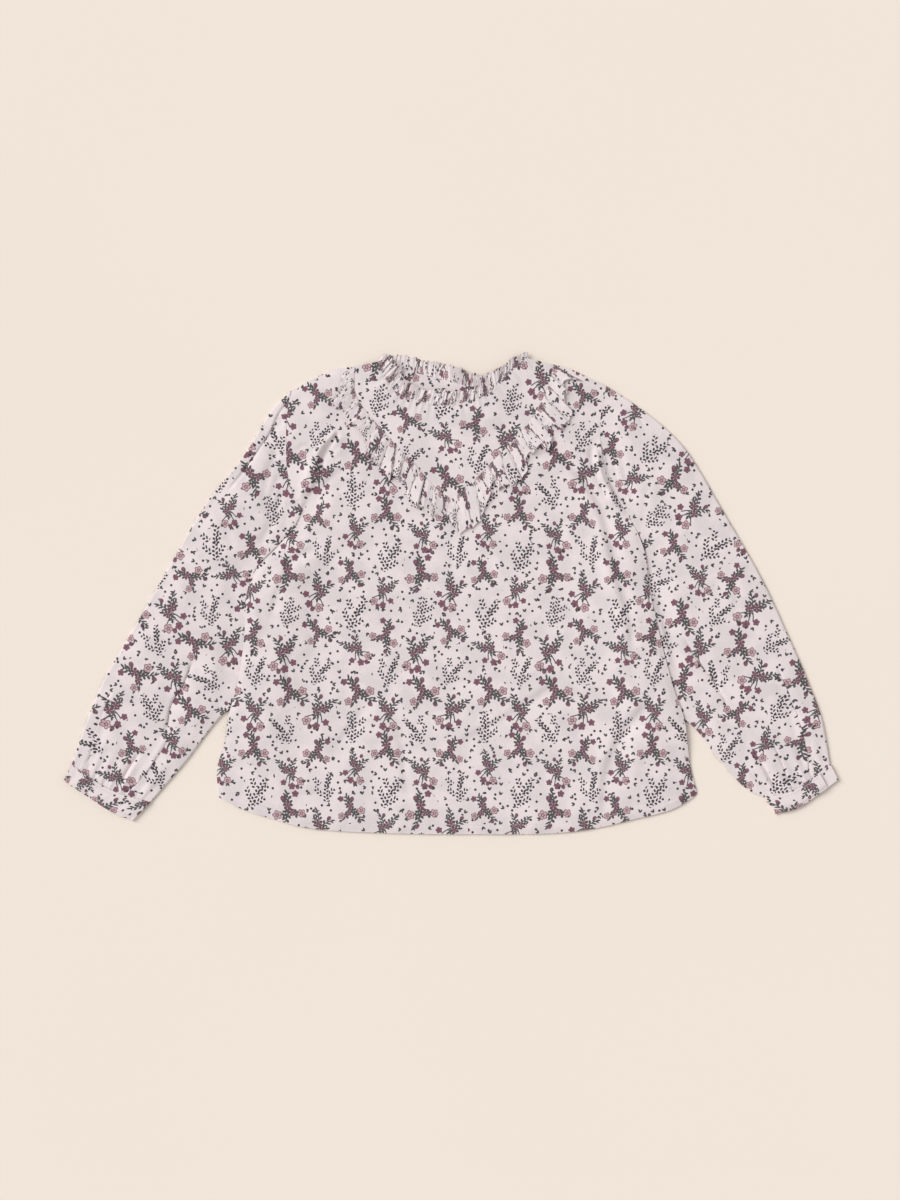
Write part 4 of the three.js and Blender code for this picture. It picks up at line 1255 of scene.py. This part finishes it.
@dataclass(frozen=True)
class Branch:
    """One leafy branch, or a bare stem, of a sprig."""

    angle: float
    length: float
    bend: float = 0
    x: float = 0
    y: float = 0
    stem: float = 0.5
    pitch: float = 3.4
    leaf: tuple[float, float] = (1.9, 0.88)


@dataclass(frozen=True)
class Head:
    """One flower or bud of a sprig."""

    bloom: Bloom
    x: float
    y: float
    size: float


@dataclass(frozen=True)
class Sprig:
    """A motif of the print, drawn round its middle in mm, and where its lattice starts."""

    x: float
    y: float
    turn: float
    swing: float
    key: float
    scale: float
    branches: tuple[Branch, ...]
    heads: tuple[Head, ...] = ()


def bare(angle: float, length: float, bend: float) -> Branch:
    """Give a stem with no leaves."""
    return Branch(angle, length, bend, pitch=0)


def spray(x: float, y: float, angle: float, length: float, bend: float) -> Branch:
    """Give a row of loose little leaves with no stem."""
    return Branch(angle, length, bend, x, y, stem=0, pitch=3.3, leaf=(1.4, 0.82))


POSY = Sprig(
    x=0, y=0, turn=0, swing=1.2, key=1, scale=1.16,
    branches=(
        Branch(angle=1.75, length=15.5, bend=0.018),
        Branch(angle=1.1, length=12.5, bend=-0.022),
        Branch(angle=2.5, length=10, bend=-0.02),
        Branch(angle=0.1, length=7, bend=0.02),
        bare(-1.15, 13, 0.02),
        bare(-1.75, 13, -0.02),
        bare(-2.5, 10, 0.02),
        Branch(angle=-1.45, length=7, pitch=2.9, leaf=(2.0, 0.9)),
    ),
    heads=(
        Head(Bloom.CLUSTER, -2.4, 3.4, 3.7),
        Head(Bloom.CLUSTER, 3, -0.6, 3.3),
        Head(Bloom.OPEN, 6.6, -12.2, 4.2),
        Head(Bloom.FULL, -2.8, -13.2, 3.5),
        Head(Bloom.FULL, -9, -6.8, 3.0),
        Head(Bloom.BUD, 1.9, -15.8, 1.9),
        Head(Bloom.BUD, 4, 11.8, 1.7),
    ),
)
BOUGH = Sprig(
    x=31.5, y=18.5, turn=3.1, swing=1.4, key=5, scale=1.18,
    branches=(
        Branch(angle=1.35, length=15.5, bend=-0.02),
        Branch(angle=2.1, length=11, bend=0.028),
        Branch(angle=-1.8, length=12.5, bend=0.02),
        Branch(angle=0.7, length=8, bend=0.02, pitch=2.9),
        bare(0.4, 10, 0.02),
        bare(2.75, 10, -0.02),
        Branch(angle=-1.1, length=9, bend=-0.03),
    ),
    heads=(
        Head(Bloom.CLUSTER, 1, -2.2, 3.8),
        Head(Bloom.CLUSTER, -2.6, 3.6, 3.1),
        Head(Bloom.OPEN, 9.6, 5.4, 4.0),
        Head(Bloom.OPEN, -10, 4.2, 3.5),
        Head(Bloom.FULL, -5.2, -11.6, 2.9),
        Head(Bloom.BUD, 4.8, -8, 2.0),
        Head(Bloom.BUD, 4.4, 14.6, 1.8),
    ),
)
LEAVES = Sprig(
    x=31.5, y=-18.5, turn=0.1, swing=1.2, key=9, scale=1.24,
    branches=(
        spray(0.5, -14, 1.6, 28, 0.006),
        spray(-1, -10, 2.5, 11, -0.02),
        spray(1.5, -7, 0.6, 10.5, 0.025),
        spray(-1.5, -1, 2.4, 11, -0.03),
        spray(1.5, 3, 0.7, 9, 0.02),
    ),
)


@dataclass(frozen=True)
class SprigCotton:
    """Soft plain-woven cotton with a print of sprigs, sprays of little leaves and dots."""

    ground: Colour = (232, 219, 219)
    shade: Colour = (221, 210, 210)
    leaf: Colour = (80, 80, 78)
    plum: Colour = (106, 78, 88)
    rose: Colour = (130, 90, 101)
    blush: Colour = (196, 168, 170)
    dot: Colour = (66, 62, 64)
    across: float = 63
    up: float = 56
    drift: tuple[float, float] = (7, 6)
    size_spread: float = 0.22
    pair_pitch: float = 11
    dot_pitch: float = 10
    dot_size: float = 1.2

    def lattice(self, at: Signal, sprig: Sprig) -> tuple[Signal, Signal]:
        """Find the nearest place of a sprig's brick lattice.

        Args:
            at: The place on the print, in mm.
            sprig: The sprig, which gives where its lattice starts and its random key.

        Returns:
            The place from the sprig's middle, moved, turned and mirrored at random, and a random
            number of 0 to 1 that is the sprig's own.
        """
        px, py, _ = at.parts()
        row = ((py - sprig.y) * (1 / self.up)).sum_of("ROUND")
        shifted = px - sprig.x - row * (self.across / 2)
        column = (shifted * (1 / self.across)).sum_of("ROUND")
        key_place = at.place(
            column.sum_of("FLOORED_MODULO", 2.0), row.sum_of("FLOORED_MODULO", 4.0), sprig.key
        )
        noise = at.node("ShaderNodeTexWhiteNoise", (key_place,), noise_dimensions="3D")
        a, b, dice = Signal(at.tree, noise.outputs["Color"]).parts()
        x = shifted - column * self.across + (a - 0.5) * self.drift[0]
        y = py - sprig.y - row * self.up + (b - 0.5) * self.drift[1]
        mirror = (dice * 7.0).sum_of("FRACT").sum_of("GREATER_THAN", 0.5) * 2 - 1
        swing = dice.sum_of("MULTIPLY_ADD", sprig.swing, sprig.turn - sprig.swing / 2)
        size = (dice * 13.0).sum_of("FRACT") * self.size_spread + 1 / sprig.scale
        return at.place(x * mirror * size, y * size).turned(swing), dice

    def branch(self, at: Signal, branch: Branch, sway: Signal) -> Signal:
        """Draw one branch and give its mask."""
        if branch.x or branch.y:
            x, y, _ = at.parts()
            at = at.place(x - branch.x, y - branch.y)
        s, t, _ = at.turned(sway + branch.angle).parts()
        t = t - s * s * branch.bend
        off = t.sum_of("ABSOLUTE")
        span = s.above(0.5) * s.below(branch.length)
        if not branch.pitch:
            return off.below(branch.stem) * span
        pitch, (long, wide) = branch.pitch, branch.leaf
        side = t.sum_of("GREATER_THAN", 0.0)
        step = (s + side * (pitch / 2)).sum_of("FLOORED_MODULO", pitch) - pitch / 2
        leaves = at.place(step, off).oval(0.3, 0.9 * long, 0.85, long, wide) * span
        if not branch.stem:
            return leaves
        tip = at.place(s, t).oval(branch.length + 0.6, 0, 0, long, 1.1 * wide)
        return (off.below(branch.stem) * span).either(leaves * s.above(2)).either(tip)

    def bloom(self, colour: Signal, at: Signal, head: Head) -> Signal:
        """Paint one flower or bud over a colour."""
        if head.bloom is Bloom.BUD:
            lean = math.atan2(head.y, head.x)
            colour = colour.painted(at.oval(head.x, head.y, lean, head.size * 1.2, head.size), self.plum)
            tip = at.oval(head.x * 1.06, head.y * 1.06, lean, head.size * 0.7, head.size * 0.6)
            return colour.painted(tip, self.rose)
        x, y, _ = at.parts()
        x, y = x - head.x, y - head.y
        size = at.place(x, y).length()
        lobe = (y.sum_of("ARCTAN2", x) * 2.5 + head.x).sum_of("COSINE").sum_of("ABSOLUTE")
        rim = lobe.sum_of("MULTIPLY_ADD", 0.3 * head.size, 0.72 * head.size)
        petals = size.below(rim)
        if head.bloom is Bloom.CLUSTER:
            crack = lobe.below(0.3, soft=0.25) * size.above(0.2 * head.size)
            return colour.painted(petals, self.plum).painted(petals * crack, self.blush)
        if head.bloom is Bloom.FULL:
            colour = colour.painted(petals, self.plum).painted(size.below(rim - 0.5), self.rose)
            return colour.painted(size.below(0.26 * head.size), self.plum)
        colour = colour.painted(petals, self.rose)
        inside = size.below(rim - 0.7) * lobe.above(0.2, soft=0.25)
        colour = colour.painted(inside, self.blush)
        heart = size.below(0.36 * head.size) * size.above(0.2 * head.size)
        return colour.painted(heart, self.plum)

    def sprig(self, colour: Signal, at: Signal, sprig: Sprig) -> tuple[Signal, Signal]:
        """Paint one sprig's lattice over a colour, and give how far each place is from it."""
        local, dice = self.lattice(at, sprig)
        sway = (dice * 9.0).sum_of("FRACT") * 0.4 - 0.2
        mask = None
        for branch in sprig.branches:
            drawn = self.branch(local, branch, sway)
            mask = drawn if mask is None else mask.either(drawn)
        colour = colour.painted(mask, self.leaf if sprig.heads else self.dot)
        for head in sprig.heads:
            colour = self.bloom(colour, local, head)
        return colour, local.length()

    def net(self, at: Signal, pitch: float, shift: float) -> bpy.types.Node:
        """Divide the cloth into uneven cells, each with a random point."""
        moved = at.node("ShaderNodeVectorMath", (at, (shift, 2 * shift, 0)), operation="ADD")
        net = at.node(
            "ShaderNodeTexVoronoi", (Signal(at.tree, moved.outputs[0]),),
            voronoi_dimensions="2D", feature="F1",
        )
        net.inputs["Scale"].default_value = 1 / pitch
        net.inputs["Randomness"].default_value = 0.8
        return net

    def pairs(self, at: Signal) -> Signal:
        """Scatter single pairs of little leaves and give their mask."""
        net = self.net(at, self.pair_pitch, 0)
        centre = Signal(at.tree, net.outputs["Position"])
        away = at.node("ShaderNodeVectorMath", (at, centre), operation="SUBTRACT")
        dice, keep, _ = Signal(at.tree, net.outputs["Color"]).parts()
        s, t, _ = Signal(at.tree, away.outputs[0]).turned(dice * (2 * math.pi)).parts()
        pair = at.place(s, t.sum_of("ABSOLUTE")).oval(0, 0.75, 0.5, 1.8, 0.85)
        return pair * keep.sum_of("GREATER_THAN", 0.12)

    def dots(self, at: Signal) -> Signal:
        """Scatter single round dots and give their mask."""
        far = Signal(at.tree, self.net(at, self.dot_pitch, 31).outputs["Distance"])
        return far.below(self.dot_size / self.dot_pitch, soft=0.04)

    def build(self) -> bpy.types.Material:
        """Make the material."""
        made = bpy.data.materials.new("sprig_cotton")
        made.use_nodes = True
        tree = made.node_tree
        shader = tree.nodes["Principled BSDF"]
        where = tree.nodes.new("ShaderNodeUVMap")
        where.uv_map = "Print"
        flat = Signal(tree, where.outputs["UV"])
        scaled = flat.node("ShaderNodeVectorMath", (flat, (1 / MM, 1 / MM, 0)), operation="MULTIPLY")
        at = Signal(tree, scaled.outputs[0])

        cloud = at.node("ShaderNodeTexNoise", (at,), noise_dimensions="2D")
        cloud.inputs["Scale"].default_value = 0.04
        cloud.inputs["Detail"].default_value = 3
        mottle = Signal(tree, cloud.outputs["Fac"]).above(0.5, soft=0.22)
        base = tree.nodes.new("ShaderNodeRGB")
        base.outputs[0].default_value = linear(self.ground)
        colour = Signal(tree, base.outputs[0]).painted(mottle, self.shade)

        bare_ground = None
        for sprig, reach in ((POSY, 14.5), (BOUGH, 14), (LEAVES, 13)):
            colour, far = self.sprig(colour, at, sprig)
            clear = far.above(reach, soft=0.3)
            bare_ground = clear if bare_ground is None else bare_ground * clear
        colour = colour.painted(self.pairs(at) * bare_ground, self.leaf)
        colour = colour.painted(self.dots(at) * bare_ground, self.dot)
        tree.links.new(colour.socket, shader.inputs["Base Color"])

        self.weave(at, shader)
        shader.inputs["Roughness"].default_value = 0.88
        shader.inputs["Specular IOR Level"].default_value = 0.25
        shader.inputs["Sheen Weight"].default_value = 0.12
        shader.inputs["Sheen Roughness"].default_value = 0.5
        return made

    def weave(self, at: Signal, shader: bpy.types.Node) -> None:
        """Raise the threads of the plain weave and the cloth's fine crinkle."""
        x, y, _ = at.parts()
        warp = (x * (2 * math.pi / 0.62)).sum_of("SINE")
        weft = (y * (2 * math.pi / 0.62)).sum_of("SINE")
        crinkle = at.node("ShaderNodeTexNoise", (at,), noise_dimensions="2D")
        crinkle.inputs["Scale"].default_value = 0.5
        crinkle.inputs["Detail"].default_value = 5
        height = warp * weft * 0.03 + Signal(at.tree, crinkle.outputs["Fac"]) * 0.5
        bump = at.node("ShaderNodeBump", ())
        bump.inputs["Strength"].default_value = 0.35
        bump.inputs["Distance"].default_value = MM
        at.tree.links.new(height.socket, bump.inputs["Height"])
        at.tree.links.new(bump.outputs["Normal"], shader.inputs["Normal"])


@dataclass(frozen=True)
class PlainFinish:
    """A plain finish with a faint cloudiness: thread, button or tabletop."""

    name: str
    colour: Colour
    cloud: Colour
    scale: float
    roughness: float
    grain: float = 0.1

    def build(self) -> bpy.types.Material:
        """Make the material."""
        made = bpy.data.materials.new(self.name)
        made.use_nodes = True
        tree = made.node_tree
        shader = tree.nodes["Principled BSDF"]
        where = tree.nodes.new("ShaderNodeTexCoord")
        at = Signal(tree, where.outputs["Object"])
        noise = at.node("ShaderNodeTexNoise", (at,))
        noise.inputs["Scale"].default_value = self.scale
        noise.inputs["Detail"].default_value = 3
        cloud = Signal(tree, noise.outputs["Fac"])
        base = tree.nodes.new("ShaderNodeRGB")
        base.outputs[0].default_value = linear(self.colour)
        colour = Signal(tree, base.outputs[0]).painted(cloud.above(0.5, soft=0.4), self.cloud)
        tree.links.new(colour.socket, shader.inputs["Base Color"])
        bump = at.node("ShaderNodeBump", ())
        bump.inputs["Strength"].default_value = self.grain
        bump.inputs["Distance"].default_value = 0.2 * MM
        tree.links.new(cloud.socket, bump.inputs["Height"])
        tree.links.new(bump.outputs["Normal"], shader.inputs["Normal"])
        shader.inputs["Roughness"].default_value = self.roughness
        return made


THREAD = PlainFinish("thread", (226, 214, 214), (210, 196, 198), scale=900, roughness=0.75)
BUTTON = PlainFinish("button_shell", (236, 228, 220), (222, 212, 204), scale=160, roughness=0.3)
TABLE = PlainFinish(
    "pale_table", (241, 229, 217), (240, 228, 216), scale=2, roughness=0.95, grain=0.0
)


# Sewing and buttons


@dataclass
class Sewing:
    """Short stitches along the hem, the neck seam, the slit and the cuffs."""

    plan: Plan
    body: Body
    cuffs: dict[Side, Cuff]
    stitch: float = 2.0
    pitch: float = 2.9
    radius: float = 0.2
    sides: int = 5

    def lines(self) -> list[Array]:
        """Give each line of stitches as points on the cloth, N by 3."""
        hem = stations(HEM, 300)
        hem = hem[3:-3] + normals(hem)[3:-3] * self.body.hem_depth
        neck = stations(NECK_FRONT, 150)
        neck = neck - normals(neck) * 1.6
        made = [self.body.front_face(hem), self.body.yoke_face(neck[3:-3])]
        slit = np.linspace(NECK_BACKS[Side.LEFT][-1], SLIT_FOOT, 60)
        for gap in (-2.6, 2.6):
            made.append(self.body.back_face(slit[4:] + (gap, 0)))
        for cuff in self.cuffs.values():
            rows = cuff.sheet().grids[0][0]
            for row in (rows[2], rows[-3]):
                made.append(row[2 : cuff.cells - 2])
        return made

    def build(self, thread: bpy.types.Material) -> bpy.types.Object:
        """Make all the stitches as one piece."""
        place, faces = [], []
        turn = 2 * math.pi * np.arange(self.sides) / self.sides
        for line in self.lines():
            s = along(line)
            for start in np.arange(self.pitch / 2, s[-1] - self.stitch, self.pitch):
                at = start + self.stitch * np.array((0, 0.12, 0.88, 1))
                spine = np.stack([np.interp(at, s, line[:, k]) for k in range(3)], 1)
                spine[:, 2] += self.radius * np.array((-0.6, 0.35, 0.35, -0.6))
                ahead = spine[2] - spine[1]
                side = np.array((-ahead[1], ahead[0], 0)) / np.hypot(*ahead[:2])
                first = len(place)
                for k, size in enumerate((0.35, 1, 1, 0.35)):
                    for a in turn:
                        out = side * math.cos(a) + np.array((0, 0, 1)) * math.sin(a)
                        place.append(spine[k] + out * self.radius * size)
                for k in range(3):
                    for a in range(self.sides):
                        b = (a + 1) % self.sides
                        low = first + k * self.sides
                        faces.append(
                            (low + a, low + b, low + self.sides + b, low + self.sides + a)
                        )
                ring = range(self.sides)
                faces.append(tuple(first + a for a in reversed(ring)))
                faces.append(tuple(first + 3 * self.sides + a for a in ring))
        mesh = bpy.data.meshes.new("stitching")
        mesh.from_pydata(((np.array(place) + (*PLAN_SHIFT, 0)) * MM).tolist(), [], faces)
        mesh.shade_smooth()
        made = bpy.data.objects.new("stitching", mesh)
        bpy.context.scene.collection.objects.link(made)
        LOG.info("stitching: %d faces", len(faces))
        return dress(made, thread)


@dataclass
class Button:
    """A small four-hole button, face down under the cloth that it is sewn to."""

    node: str
    radius: float = 4.5
    height: float = 1.8
    bevel: float = 0.35
    hole: float = 0.55
    hole_ring: float = 1.25

    def build(self, shell: bpy.types.Material) -> bpy.types.Object:
        """Make the button where its solid is."""
        low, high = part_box(self.node)
        outline = bpy.data.curves.new("outline", "CURVE")
        outline.dimensions = "2D"
        outline.fill_mode = "BOTH"
        outline.extrude = (self.height / 2 - self.bevel) * MM
        outline.bevel_depth = self.bevel * MM
        outline.bevel_resolution = 2
        middle = (low + high) / 2
        rings = [(0.0, 0.0, self.radius - self.bevel, 40)]
        for a in (0.25, 0.75, 1.25, 1.75):
            x, y = math.cos(a * math.pi), math.sin(a * math.pi)
            rings.append((x * self.hole_ring, y * self.hole_ring, self.hole + self.bevel, 16))
        for x, y, radius, count in rings:
            spline = outline.splines.new("POLY")
            spline.points.add(count - 1)
            spline.use_cyclic_u = True
            for k, point in enumerate(spline.points):
                a = 2 * math.pi * k / count
                point.co = ((x + radius * math.cos(a)) * MM, (y + radius * math.sin(a)) * MM, 0, 1)
        drawn = bpy.data.objects.new("outline", outline)
        bpy.context.scene.collection.objects.link(drawn)
        bpy.context.view_layer.update()
        mesh = bpy.data.meshes.new_from_object(drawn)
        bpy.data.objects.remove(drawn)
        mesh.name = self.node
        for vertex in mesh.vertices:
            vertex.co += middle
        mesh.shade_smooth()
        made = bpy.data.objects.new(f"{self.node}_shell", mesh)
        bpy.context.scene.collection.objects.link(made)
        LOG.info("button: %s", self.node)
        return dress(made, shell, self.node)


# Table, light and camera


@dataclass
class Studio:
    """A pale table under broad even light from the upper left, and a camera straight above."""

    lens: float = 85
    sensor: float = 36
    view_height: float = 1.140
    aim: tuple[float, float] = (-0.0009, -0.0064)
    key_from: tuple[float, float, float] = (-1.35, 0.65, 1.15)
    key_strength: float = 2.2
    key_spread: float = 36
    sky: float = 0.575
    table_half: float = 16

    def build(self, table: bpy.types.Material) -> None:
        """Make the table, the light and the camera."""
        half = self.table_half
        mesh = bpy.data.meshes.new("table")
        corners = ((-half, -half), (half, -half), (half, half), (-half, half))
        mesh.from_pydata([(x, y, -0.00005) for x, y in corners], [], [(0, 1, 2, 3)])
        mesh.materials.append(table)
        floor = bpy.data.objects.new("table", mesh)
        bpy.context.scene.collection.objects.link(floor)

        world = bpy.data.worlds.new("soft_sky")
        world.use_nodes = True
        world.node_tree.nodes["Background"].inputs["Color"].default_value = (1, 1, 1, 1)
        world.node_tree.nodes["Background"].inputs["Strength"].default_value = self.sky
        bpy.context.scene.world = world
        light = bpy.data.lights.new("key", "SUN")
        light.energy = self.key_strength
        light.angle = math.radians(self.key_spread)
        key = bpy.data.objects.new("key", light)
        key.location = self.key_from
        key.rotation_mode = "QUATERNION"
        key.rotation_quaternion = key.location.to_track_quat("Z", "Y")
        bpy.context.scene.collection.objects.link(key)
        bpy.context.scene.view_settings.view_transform = "Standard"

        lens = bpy.data.cameras.new("camera")
        lens.lens = self.lens
        lens.sensor_width = self.sensor
        lens.clip_start, lens.clip_end = 0.01, 60
        camera = bpy.data.objects.new("camera", lens)
        bpy.context.scene.collection.objects.link(camera)
        camera.location = (*self.aim, self.view_height * self.lens / self.sensor)
        bpy.context.scene.camera = camera
        LOG.info("studio: table, light and camera")


def main() -> None:
    """Build the blouse on its table."""
    logging.basicConfig(level=logging.INFO, format="%(name)s: %(message)s")
    Studio().build(TABLE.build())
    cotton, thread, shell = SprigCotton().build(), THREAD.build(), BUTTON.build()
    plan = Plan()
    body = Body(plan)
    pieces = body.build(cotton)
    pieces |= Trims(plan).build(cotton)
    cuffs = {side: Cuff(side) for side in Side}
    for side in Side:
        pieces[f"sleeve_{side.value}"] = Sleeve(plan, side).build(cotton)
        pieces[f"cuff_{side.value}"] = cuffs[side].build(cotton)
    Sewing(plan, body, cuffs).build(thread)
    for node in ("neck_button", "cuff_button_left", "cuff_button_right"):
        Button(node).build(shell)


if __name__ == "__main__":
    main()
